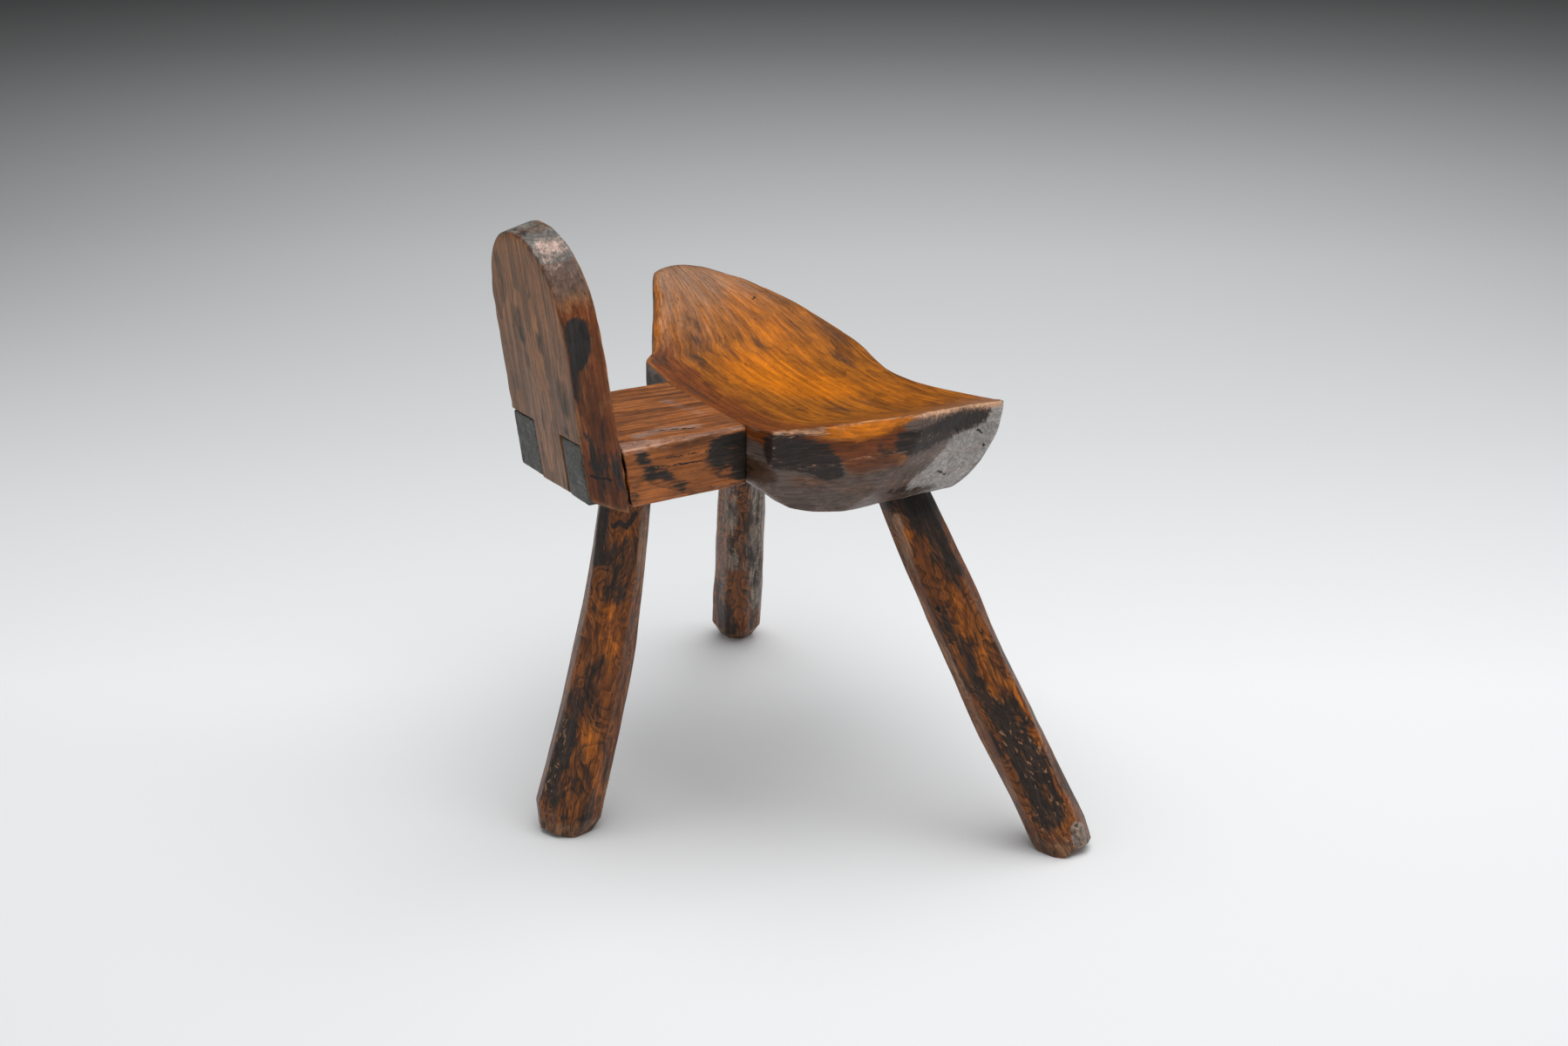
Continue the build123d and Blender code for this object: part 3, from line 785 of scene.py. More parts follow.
# ---------------------------------------------------------------- tongue and its pins
@dataclass
class Tongue:
    """The plank behind the seat, with two square pins that go right through the board."""

    half: float = 70.0
    underside: float = 315.5
    bar_underside: float = 313.3
    top: float = 364.0
    bar_top: float = 365.9
    rise_back: float = 0.035
    rise_right: float = 0.036
    bar_rise_right: float = 0.006
    arrises: tuple[float, float] = (0.8, 2.6)
    taper: float = 0.044
    left_pin: tuple[float, float] = (30.5, 70.0)
    right_pin: tuple[float, float] = (-53.0, -19.0)
    gap: float = 1.5

    def pin_top(self) -> Cut:
        """Returns the pins' sloping top, which rises towards the board and towards the right."""
        return Cut.through((0.0, 0.0, self.top), (self.rise_back, self.rise_right, 1.0))

    def bar_cuts(self) -> list[Cut]:
        """Returns the bar's top, underside, sides and the worn chamfers along its top edges.

        Both chamfers widen towards the board by the taper.
        """
        cuts = [Cut.through((0.0, 0.0, self.bar_top), (self.rise_back, self.bar_rise_right, 1.0)),
                Cut.through((0.0, 0.0, self.bar_underside), (0.0, 0.0, -1.0))]
        for side, chamfer in zip((1.0, -1.0), self.arrises):
            cuts.append(Cut.through((0.0, side * self.half, 0.0), (0.0, side, 0.0)))
            edge_z = self.bar_top - side * self.bar_rise_right * self.half
            leaning = np.array([self.rise_back - self.taper, side, 1.0])
            cuts.append(Cut.through((0.0, side * (self.half - chamfer), edge_z), leaning))
        return cuts

    def body(self, board: "Board") -> Shell:
        """Returns the plank between the seat's back face and the board's front."""
        cuts = [*self.bar_cuts(), Cut.through((-0.3, 0.0, 0.0), (1.0, 0.0, 0.0)), board.plane(-1.2)]
        slab = Slab((-57.0, 0.0, 341.0), oblong(47.0, 58.0, 8.0), around=300, face_rows=36, rim_rows=60, reach=120.0)

        def waves(points: Array) -> Array:
            """Unevenness of the plank's faces, less across the top than along the sides."""
            rough = 0.15 + 0.35 * layered_noise(points * (0.4, 1.0, 1.0), 20.0, 41, 3)
            shifts = np.repeat(rough[..., None], len(cuts), axis=-1)
            for k in (3, 5):
                shifts[..., k] = 0.9 * noise(points + 31.0 * k, 24.0, 43) + 0.4 * noise(points, 7.0, 44)
            return shifts

        return slab.sawn(cuts, waves)

    def pin(self, limits: tuple[float, float], board: "Board") -> Shell:
        """Returns one pin, from inside the plank to the board's back face."""
        low, high = limits
        cuts = [
            self.pin_top(), Cut.through((0.0, 0.0, self.underside), (0.0, 0.0, -1.0)),
            Cut.through((0.0, high, 0.0), (0.0, 1.0, 0.0)), Cut.through((0.0, low, 0.0), (0.0, -1.0, 0.0)),
            Cut.through((-112.0, 0.0, 0.0), (1.0, 0.0, 0.0)), board.plane(board.thickness - 0.2),
        ]
        rim = oblong(12.0, (high - low) / 2.0 - 6.0, 8.0)
        slab = Slab((-130.0, (low + high) / 2.0, 342.0), rim, around=140, face_rows=12, rim_rows=60, reach=90.0)

        def waves(points: Array) -> Array:
            """Saw marks on the pin's end, and a little play on the other faces."""
            shifts = np.repeat((0.3 + 0.2 * noise(points, 9.0, 47))[..., None], len(cuts), axis=-1)
            shifts[..., 5] = 0.2 + 0.35 * layered_noise(points, 13.0, 48, 3)
            return shifts

        return slab.sawn(cuts, waves)

    def build(self, board: "Board") -> bpy.types.Object:
        """Makes the plank with its pins as one piece, and its masks."""
        shells = [self.body(board), self.pin(self.left_pin, board), self.pin(self.right_pin, board)]
        piece = mesh_object("tongue_plank", shells)
        points = vertices(piece)
        x, y, z = points[..., 0], points[..., 1], points[..., 2]
        set_grain(piece, np.stack([y + 4.0 * noise(points * (0.3, 1.0, 1.0), 34.0, 51), z, x], axis=-1))
        stack = cut_depths(points, self.bar_cuts())
        top, side, chamfer = (share_of(stack, k, 1.0) for k in (0, 4, 5))
        behind = smooth_step(-x, 122.0, 128.0)
        char = side * stained(points, [
            Stroke(((-104.0, -70.0, 360.0), (-98.0, -70.0, 350.0), (-93.0, -70.0, 342.0)), 13.0, 0.66, 0.0),
            Stroke(((-80.0, -70.0, 338.0), (-74.0, -70.0, 328.0), (-64.0, -70.0, 324.0)), 12.0, 0.6, 0.0),
            Stroke(((-24.0, -70.0, 348.0), (-8.0, -70.0, 352.0), (-4.0, -70.0, 330.0)), 26.0, 0.9, 0.25),
            Stain((-110.0, -70.0, 322.0), (14.0, 20.0, 22.0), 0.5, 0.0),
        ])
        smudge = top * stained(points, [
            Stroke(((-98.0, -52.0, 369.0), (-66.0, -45.0, 368.0), (-38.0, -50.0, 368.0)), 9.0, 0.72, 0.2),
            Stroke(((-30.0, 20.0, 366.0), (-16.0, -30.0, 366.0)), 10.0, 0.4, 0.1),
        ])
        worn = chamfer * (0.46 + 0.3 * smooth_step(-x, 62.0, 108.0))
        pale = np.maximum(worn, side * smooth_step(-z, -320.0, -315.0) * 0.4)
        # Painted shade: the tongue's end goes dark in the gap where it meets the board.
        gap = smooth_step((points - board.foot) @ board.back, -1.7, -1.3) * (1.0 - behind)
        set_masks(piece, {
            Mask.WAX_SHEEN: smudge, Mask.RUST: (1.0 - behind) * (0.35 + 0.25 * side), Mask.END: behind,
            Mask.CHAR: char * (1.0 - behind), Mask.PALE: pale * (1.0 - behind), Mask.SHADE: gap,
        })
        return dressed(piece, Finish.TONGUE, "tongue")


# ---------------------------------------------------------------- back board
@dataclass
class Board:
    """The leaning board with an arched top and its right edge hewn off askew."""

    lean: float = 8.5
    thickness: float = 30.9
    front_x: float = -114.5
    tongue_underside: float = 315.5
    left: tuple[float, float] = (72.0, 71.0)
    right: tuple[float, float] = (73.4, 68.2)
    right_behind: tuple[float, float] = (54.0, 60.8)
    shoulder: float = 152.0
    crown: float = 5.0
    rise: tuple[float, float] = (86.5, 84.8)
    fullness: float = 2.2
    foot_front: tuple[float, float] = (-1.0, -9.6)
    foot_behind: tuple[float, float] = (1.8, 8.6)
    corner: float = 2.5
    foot: Array = field(init=False)
    up: Array = field(init=False)
    back: Array = field(init=False)

    def __post_init__(self) -> None:
        """Works out the board's own directions: up along it, and straight back through it."""
        lean = math.radians(self.lean)
        self.foot = np.array([self.front_x, 0.0, self.tongue_underside])
        self.up = np.array([-math.sin(lean), 0.0, math.cos(lean)])
        self.back = np.array([-math.cos(lean), 0.0, -math.sin(lean)])

    def plane(self, behind: float) -> Cut:
        """Returns the cut along the board, this far behind its front face."""
        return Cut(self.back, float(self.back @ self.foot) + behind)

    def local(self, points: Array) -> tuple[Array, Array, Array]:
        """Returns each point's distance to the left, up the board and behind its front face."""
        offset = points - self.foot
        return points[..., 1], offset @ self.up, offset @ self.back

    def stack(self, points: Array) -> Array:
        """Distances outside the front, the back, the two edges with their arch, the foot and its corners.

        Above the shoulder an edge is the full arch ((y - crown) / a)^n + ((s - shoulder) / b)^n = 1, n its fullness.
        """
        y, s, t = self.local(points)
        depth = t / self.thickness
        up = np.clip(s / self.shoulder, -0.2, 1.0)
        left = self.left[0] + (self.left[1] - self.left[0]) * up
        right_foot = self.right[0] + (self.right_behind[0] - self.right[0]) * depth
        right_shoulder = self.right[1] + (self.right_behind[1] - self.right[1]) * depth
        right = right_foot + (right_shoulder - right_foot) * up
        rise = self.rise[0] + (self.rise[1] - self.rise[0]) * depth
        high = np.maximum(s - self.shoulder, 0.0) / rise
        edges = []
        for side, width in ((1.0, left), (-1.0, right)):
            half = width - side * self.crown
            across = np.maximum(side * (y - self.crown), 0.0) / half
            arch = (across**self.fullness + high**self.fullness) ** (1.0 / self.fullness)
            edges.append((arch - 1.0) * np.minimum(half, rise))
        foot_left = self.foot_front[0] + (self.foot_behind[0] - self.foot_front[0]) * depth
        foot_right = self.foot_front[1] + (self.foot_behind[1] - self.foot_front[1]) * depth
        place = np.clip((y + 72.5) / 143.0, 0.0, 1.0)
        under = foot_right + (foot_left - foot_right) * place - s
        corners = [
            (side * y - width + self.corner + under) / math.sqrt(2.0) for side, width in ((1.0, left), (-1.0, right))
        ]
        return np.stack([-t, t - self.thickness, *edges, under, *corners], axis=-1)

    def waves(self, points: Array) -> Array:
        """Unevenness: the faces roll along the grain, the hewn edge is choppier."""
        shifts = np.empty((*points.shape[:-1], 7))
        broad = points * (1.0, 1.0, 0.45)
        for k in range(7):
            shifts[..., k] = 0.3 + 0.35 * noise(broad + 53.0 * k, 27.0, 61) + 0.12 * noise(broad, 9.0, 62)
        shifts[..., 2] = np.maximum(0.1 + 0.2 * noise(broad, 20.0, 68), 0.05)
        choppy = 0.25 + 0.5 * noise(points * (1.0, 1.0, 0.7), 15.0, 63) + 0.2 * noise(points, 5.0, 64)
        shifts[..., 3] = np.maximum(choppy, 0.05)
        return shifts

    def softness(self, points: Array) -> Array:
        """Radius of the worn arrises: roundest along the lower right edge."""
        y, s, _ = self.local(points)
        return 0.7 + 0.9 * smooth_step(-y, 40.0, 60.0) * (1.0 - smooth_step(s, 60.0, 130.0))

    def slots(self, tongue: Tongue) -> bpy.types.Object:
        """Returns a cutter for the two slots, a gap wider than the pins."""
        gap = tongue.gap
        shells = []
        ranges = ((tongue.left_pin[0] - gap, 95.0), (tongue.right_pin[0] - gap, tongue.right_pin[1] + gap))
        for low, high in ranges:
            rows = []
            for bottom in (True, False):
                corners = []
                for x, y in ((-200.0, low), (-90.0, low), (-90.0, high), (-200.0, high)):
                    top = tongue.top - tongue.rise_back * x - tongue.rise_right * y + gap
                    corners.append((x, y, 290.0 if bottom else top))
                rows.append(corners)
            grid = np.array(rows)
            shells.append(Shell(grid, grid[0].mean(axis=0), grid[1].mean(axis=0)))
        return mesh_object("slot_cutter", shells)

    def build(self, tongue: Tongue) -> bpy.types.Object:
        """Makes the board, cuts its slots and stores its masks."""
        slab = Slab(
            self.foot + self.up * 108.0 + self.back * self.thickness / 2.0, oblong(46.0, 92.0, 3.0), around=420,
            face_rows=58, rim_rows=46, reach=160.0, across=(0.0, 1.0, 0.0), along=self.up, up=-self.back,
        )
        piece = mesh_object("back_board_hewn", [slab.shell(self.stack, self.softness, self.waves)])
        cut_out(piece, self.slots(tongue))
        points = vertices(piece)
        y, s, t = self.local(points)
        set_grain(piece, np.stack([y + 4.0 * noise(points * (1.0, 1.0, 0.3), 30.0, 65), t, s], axis=-1))
        stack = self.stack(points)
        front, behind, left_edge, edge = (share_of(stack, k, 1.0) for k in range(4))
        arris = arris_of(stack, 1.1)
        arch_line = arris * smooth_step(s, 120.0, 170.0) * smooth_step(t, 15.0, 24.0)
        streaks = noise(points * (1.0, 1.0, 0.2), 5.0, 66)
        low_edge = edge * (1.0 - smooth_step(s, 84.0, 104.0))
        ellipse = edge * stained(points, [
            Stain((-160.0, -63.0, 464.0), (15.0, 16.0, 28.0), 1.0, 0.75),
            Stroke(((-164.0, -62.0, 455.0), (-165.0, -61.0, 436.0)), 11.0, 1.0, 0.4),
            Stroke(((-165.0, -61.0, 441.0), (-160.0, -60.0, 408.0)), 10.0, 1.0, 0.2),
        ])
        stains = edge * stained(points, [
            Stroke(((-163.0, -60.0, 434.0), (-158.0, -60.0, 402.0)), 8.0, 0.7, 0.0),
            Stroke(((-148.0, -61.0, 384.0), (-143.0, -61.0, 352.0)), 9.0, 0.6, 0.0),
            Stroke(((-130.0, -68.0, 372.0), (-124.0, -68.0, 328.0)), 9.0, 0.6, 0.0),
        ])
        bright = low_edge * stained(points, [
            Stroke(((-134.0, -67.0, 404.0), (-130.0, -67.0, 370.0)), 9.0, 0.9, 0.0),
            Stroke(((-143.0, -58.0, 340.0), (-142.0, -58.0, 322.0)), 7.0, 0.9, 0.1),
            Stroke(((-143.0, -66.0, 440.0), (-138.0, -67.0, 412.0)), 8.0, 0.75, 0.0),
        ])
        char = np.maximum.reduce([
            ellipse, stains, low_edge * (0.2 + 0.5 * streaks), arch_line * (0.4 + 0.4 * noise(points, 9.0, 67)),
            behind * (0.14 + 0.26 * streaks) * (1.0 - smooth_step(s, 50.0, 150.0)),
        ]) * (1.0 - 0.8 * bright)
        smudges = behind * stained(points, [
            Stroke(((-171.0, 26.0, 470.0), (-168.0, 25.0, 448.0)), 12.0, 0.75, 0.0),
            Stroke(((-168.0, -8.0, 456.0), (-167.0, -8.0, 446.0)), 11.0, 0.72, 0.0),
            Stroke(((-165.0, 20.0, 430.0), (-164.0, 20.0, 424.0)), 9.0, 0.65, 0.0),
            Stroke(((-162.0, -38.0, 420.0), (-159.0, -38.0, 400.0)), 14.0, 0.6, 0.0),
        ])
        pink = edge * stained(points, [
            Stroke(((-168.0, -24.0, 541.0), (-158.0, -30.0, 540.0)), 16.0, 0.78, 0.0),
            Stroke(((-172.0, -34.0, 532.0), (-165.0, -39.0, 528.0)), 13.0, 0.5, 0.0),
        ])
        orange = np.maximum.reduce([
            edge * (1.0 - smooth_step(s, 176.0, 204.0)) * (0.8 + 0.2 * streaks), arch_line,
            arris * front * smooth_step(-y, 40.0, 60.0), bright,
        ])
        set_masks(piece, {
            Mask.AMBER: np.maximum.reduce([bright, arch_line * (0.35 + 0.4 * noise(points, 5.0, 69)),
                                           edge * arris * 0.6 * (1.0 - smooth_step(s, 160.0, 200.0))]),
            Mask.RUST: orange, Mask.ASH_SHEEN: edge * smooth_step(s, 176.0, 206.0),
            # Milky wax on the back face, lighter towards its foot: partly painted sheen.
            Mask.WAX_SHEEN: behind * (0.1 + 0.3 * noise(points * (1.0, 1.0, 0.3), 16.0, 70)
                                 + 0.45 * (1.0 - smooth_step(s, 60.0, 170.0))),
            Mask.END: np.maximum(edge, left_edge) * smooth_step(s, 216.0, 223.0), Mask.CHAR: char, Mask.PALE: pink,
            Mask.SHADE: np.maximum(left_edge * 0.3, smudges),
        })
        return dressed(piece, Finish.BOARD, "back_board")


# ---------------------------------------------------------------- legs
@dataclass
class Leg:
    """A hewn club: its section is a rounded polygon of uneven facets, carried along a bent middle line."""

    name: str
    node: str
    top: Point
    knee: Point
    foot: Point
    radii: tuple[float, float, float, float]
    turn: float
    seed: int
    marks: dict[Mask, tuple[Stain | Stroke, ...]]
    sides: int = 8
    reach: float = 22.0
    sunk: float = 10.0
    bevel: float = 20.0
    narrowing: float = 0.74
    facet_swing: float = 0.16
    arris: float = 0.8
    around: int = 180
    rows: int = 260

    def line(self, place: Array) -> Array:
        """Middle line: a natural cubic spline in each coordinate over the length run so far.

        Args:
            place: length in mm from the start inside the wood above.

        Returns:
            Points on the line.
        """
        top, knee, foot = (np.array(p, float) for p in (self.top, self.knee, self.foot))
        start = top + unit(top - knee) * self.reach
        end = foot + unit(foot - knee)
        half = float(np.linalg.norm(knee - start))
        nodes = (0.0, half, half + float(np.linalg.norm(end - knee)))
        axes = [Curve(list(zip(nodes, values))) for values in zip(start, knee, end)]
        return np.stack([axis(place) for axis in axes], axis=-1)

    def length(self) -> float:
        """Returns the middle line's length, from its start inside the wood above."""
        top, knee, foot = (np.array(p, float) for p in (self.top, self.knee, self.foot))
        return float(np.linalg.norm(top - knee) + self.reach + np.linalg.norm(foot - knee) + 1.0)

    def section(self, place: Array, angle: Array) -> Array:
        """Radius of the section: the least over the facets of a / cos(angle - facet), rounded.

        Args:
            place: length down the leg, shape (rows, 1).
            angle: angle round the leg, shape (1, around).

        Returns:
            The radius, shape (rows, around).
        """
        total = self.length()
        places = np.array([0.0, 0.35, 0.65, 1.0 - self.bevel / total, 1.0]) * total
        radius = np.interp(place, places, [*self.radii, self.radii[-1] * self.narrowing])
        facets = []
        for k in range(self.sides):
            spot = np.stack([place, 0.0 * place + 83.0 * k, 0.0 * place], axis=-1)
            swing = self.facet_swing * noise(spot, 60.0, self.seed)
            flat = math.cos(math.pi / self.sides) * (
                1.0 + 0.012 * noise(spot, 75.0, self.seed + 1) + 0.003 * noise(spot, 14.0, self.seed + 2)
            )
            facing = np.cos(angle - (2.0 * math.pi * (k + 0.5) / self.sides + swing))
            facets.append(np.where(facing > 0.2, radius * flat / np.maximum(facing, 0.2), radius * 5.0))
        return -smooth_max(-np.stack(facets, axis=-1), self.arris)

    def shell(self) -> Shell:
        """Carries the section down the line and closes both ends with rings that shrink to a point."""
        place = np.linspace(self.reach - self.sunk, self.length(), self.rows)
        angle = np.linspace(0.0, 2.0 * math.pi, self.around, endpoint=False)
        line = self.line(place)
        ahead = self.line(place + 0.5) - self.line(place - 0.5)
        ahead /= np.linalg.norm(ahead, axis=-1, keepdims=True)
        forward = np.array([1.0, 0.0, 0.0])
        across = forward - (ahead @ forward)[:, None] * ahead
        across /= np.linalg.norm(across, axis=-1, keepdims=True)
        other = np.cross(ahead, across)
        turned = angle + math.radians(self.turn)
        ring = np.cos(turned)[None, :, None] * across[:, None] + np.sin(turned)[None, :, None] * other[:, None]
        radius = self.section(place[:, None], angle[None, :])
        body = line[:, None] + radius[..., None] * ring
        fine = 0.16 * layered_noise(body * (1.0, 1.0, 0.5), 12.0, self.seed + 5, 3)
        fine -= 0.4 * scoops(body * (1.0, 1.0, 0.4), 26.0, self.seed + 6)
        body = body + fine[..., None] * ring
        low, high = (np.array(corner) / METRES - SEAT_ORIGIN for corner in CAD_BOX)
        body = np.clip(body, low + (BOX_ROOM, BOX_ROOM, 0.0), high - BOX_ROOM)
        caps = np.linspace(1.0, 0.0, 9)[1:-1, None, None]
        first, last = body[0].mean(axis=0), body[-1].mean(axis=0)
        rows = np.concatenate([first + (body[0] - first) * caps[::-1], body, last + (body[-1] - last) * caps])
        return Shell(rows, first, last)

    def build(self) -> bpy.types.Object:
        """Makes the leg and stores its masks."""
        piece = mesh_object(self.name, [self.shell()])
        points = vertices(piece)
        z = points[..., 2]
        share = np.clip(z / self.top[2], 0.0, 1.0)
        middle = np.array(self.foot) + (np.array(self.top) - np.array(self.foot)) * share[:, None]
        local = points - middle
        flow = 2.5 * noise(points * (1.0, 1.0, 0.5), 30.0, self.seed + 8)
        set_grain(piece, np.stack([local[:, 0] + flow, local[:, 1], z], axis=-1))
        drawn_out = points * (1.0, 1.0, 0.42)
        foot = 1.0 - smooth_step(z, 12.0, 21.0)
        painted = {mask: stained(points, stains) for mask, stains in self.marks.items()}
        bright = np.maximum(painted.get(Mask.AMBER, 0.0 * z), painted.get(Mask.WAX_SHEEN, 0.0 * z))
        masks = {
            Mask.RUST: 0.5 + 0.4 * noise(drawn_out, 36.0, self.seed + 9), Mask.ASH_SHEEN: foot * 0.5,
            Mask.CHAR: (0.3 + 0.36 * noise(drawn_out, 22.0, self.seed + 10)) * (1.0 - 0.8 * bright),
            Mask.PALE: foot * 0.2,
            # Painted shade: the leg darkens towards its top, where it goes into the wood above.
            Mask.SHADE: smooth_step(z, self.top[2] - 18.0, self.top[2]) * 0.7,
        }
        for mask, shares in painted.items():
            masks[mask] = np.maximum(masks.get(mask, 0.0 * z), shares)
        set_masks(piece, masks)
        return dressed(piece, Finish.LEG, self.node)


def bowed(top: Sequence[float], foot: Sequence[float], bow: float) -> Point:
    """Point near the middle of a leg, moved sideways off the straight line by the bow."""
    low, high = np.array(foot, float), np.array(top, float)
    sideways = unit(np.cross(low - high, (0.0, 0.0, 1.0)))
    return tuple((low + high) * 0.5 + sideways * bow)


LEFT_TOP, LEFT_FOOT = (115.0, 130.0, 298.0), (199.0, 290.0, 0.0)
RIGHT_TOP, RIGHT_FOOT = (122.0, -129.0, 298.0), (203.2, -274.6, 0.0)
FAR_MARKS = {
    # The two long grey strips down the far leg are partly painted sheen, partly grey wood.
    Mask.END: (
        Stroke(((132.0, 140.0, 240.0), (154.0, 171.0, 173.0), (171.0, 208.0, 103.0), (194.0, 239.0, 50.0)),
               20.0, 0.72, 0.1),
        Stroke(((108.0, 140.0, 260.0), (129.0, 180.0, 180.0), (152.0, 215.0, 105.0)), 14.0, 0.62, 0.1),
    ),
    Mask.AMBER: (Stroke(((124.0, 166.0, 197.0), (127.0, 170.0, 190.0)), 6.0, 0.9, 0.2),),
    Mask.CHAR: (
        # Darkens the foot's lower part: blackened wood with painted contact shade by the floor.
        Stroke(((165.0, 253.0, 46.0), (176.0, 266.0, 16.0)), 22.0, 0.85, 0.1),
        Stroke(((140.0, 196.0, 150.0), (158.0, 226.0, 90.0)), 14.0, 0.65, 0.0),
    ),
}
NEAR_MARKS = {
    # The long light strips down the leg are painted sheen over milky wax.
    Mask.WAX_SHEEN: (
        Stroke(((104.0, -146.0, 284.0), (118.0, -168.0, 214.0), (133.0, -199.0, 157.0), (150.0, -229.0, 90.0),
                (163.0, -250.0, 50.0)), 9.0, 0.85, 0.4),
        Stroke(((192.0, -262.0, 92.0), (205.0, -288.0, 34.0)), 6.0, 0.7, 0.3),
    ),
    Mask.AMBER: (
        Stroke(((130.0, -186.0, 230.0), (136.0, -198.0, 214.0), (136.0, -204.0, 198.0)), 16.0, 0.85, 0.0),
        Stroke(((148.0, -214.0, 176.0), (154.0, -231.0, 148.0)), 13.0, 0.75, 0.0),
        Stain((113.0, -157.0, 275.0), (12.0, 12.0, 12.0), 0.9, 0.0),
        Stroke(((168.0, -232.0, 150.0), (186.0, -256.0, 98.0)), 8.0, 0.6, 0.0),
    ),
    Mask.CHAR: (
        Stroke(((124.0, -152.0, 298.0), (133.0, -172.0, 262.0), (139.0, -184.0, 244.0)), 26.0, 0.85, 0.0),
        # Darkens the leg's top under the seat's edge: blackened wood with painted shade where the leg meets the seat.
        Stroke(((124.0, -150.0, 298.0), (124.0, -158.0, 286.0)), 24.0, 0.9, 0.2),
        Stain((122.0, -184.0, 209.0), (10.0, 10.0, 14.0), 0.8, 0.0),
        Stroke(((158.0, -240.0, 124.0), (172.0, -264.0, 76.0), (180.0, -278.0, 40.0)), 23.0, 0.85, 0.35),
    ),
    Mask.SCAR: (
        Stroke(((158.0, -240.0, 126.0), (169.0, -255.0, 101.0), (181.0, -274.0, 59.0), (190.0, -284.0, 26.0)),
               21.0, 1.0, 0.6),
    ),
    Mask.END: (Stain((206.0, -292.0, 20.0), (17.0, 14.0, 20.0), 0.9, 0.4),),
}
BACK_MARKS = {
    # The long light strips down the leg are painted sheen over milky wax.
    Mask.WAX_SHEEN: (
        Stroke(((-76.0, -22.0, 284.0), (-81.0, -24.0, 214.0), (-89.0, -25.0, 160.0), (-114.0, -28.0, 64.0),
                (-124.0, -30.0, 22.0)), 13.0, 0.9, 0.4),
        Stroke(((-104.0, -24.0, 297.0), (-90.0, -29.0, 294.0)), 9.0, 0.5, 0.2),
    ),
    Mask.AMBER: (
        Stroke(((-112.0, -31.0, 208.0), (-117.0, -33.0, 172.0)), 19.0, 0.95, 0.1),
        Stroke(((-100.0, -25.0, 292.0), (-96.0, -29.0, 268.0)), 14.0, 0.7, 0.0),
        Stroke(((-141.0, -34.0, 99.0), (-136.0, -40.0, 70.0), (-132.0, -39.0, 44.0)), 14.0, 0.62, 0.0),
    ),
    Mask.CHAR: (
        Stroke(((-108.0, -8.0, 298.0), (-110.0, -9.0, 287.0), (-117.0, -11.0, 249.0)), 13.0, 1.0, 0.3),
        Stroke(((-100.0, -27.0, 260.0), (-106.0, -28.0, 248.0), (-108.0, -30.0, 218.0)), 21.0, 0.72, 0.0),
        Stroke(((-109.0, -19.0, 285.0), (-106.0, -22.0, 279.0), (-101.0, -25.0, 283.0), (-96.0, -27.0, 278.0),
                (-91.0, -28.0, 284.0), (-87.0, -28.0, 289.0)), 3.4, 1.0, 0.4),
        Stroke(((-128.0, -30.0, 158.0), (-140.0, -32.0, 124.0)), 16.0, 0.7, 0.0),
        Stroke(((-146.0, -20.0, 118.0), (-158.0, -20.0, 78.0), (-168.0, -20.0, 34.0)), 22.0, 0.9, 0.1),
        Stain((-150.0, -38.0, 20.0), (14.0, 14.0, 6.0), 0.9, 0.3),
    ),
    Mask.SCAR: (Stroke(((-155.0, -15.0, 100.0), (-163.0, -16.0, 70.0), (-171.0, -17.0, 40.0)), 9.0, 0.9, 0.3),),
}
LEGS = (
    Leg("far_leg", "front_left_leg", LEFT_TOP, bowed(LEFT_TOP, LEFT_FOOT, 0.0), LEFT_FOOT,
        (22.0, 23.8, 25.2, 25.8), 10.0, 101, FAR_MARKS, bevel=26.0, narrowing=0.6),
    Leg("near_leg", "front_right_leg", RIGHT_TOP, bowed(RIGHT_TOP, RIGHT_FOOT, 5.4), RIGHT_FOOT,
        (22.4, 25.8, 27.0, 26.0), 24.0, 131, NEAR_MARKS, narrowing=0.88),
    Leg("curved_back_leg", "back_leg", (-82.0, -4.0, 315.5), (-101.5, -8.0, 196.0), (-156.0, -13.0, 0.0),
        (23.0, 26.2, 28.8, 31.4), 0.0, 161, BACK_MARKS),
)


# ---------------------------------------------------------------- node trees
def srgb(red: float, green: float, blue: float) -> tuple[float, float, float, float]:
    """Turns display values from 0 to 255 into a linear colour with full alpha."""
    parts = [c / 255.0 for c in (red, green, blue)]
    linear = [c / 12.92 if c <= 0.04045 else ((c + 0.055) / 1.055) ** 2.4 for c in parts]
    return linear[0], linear[1], linear[2], 1.0


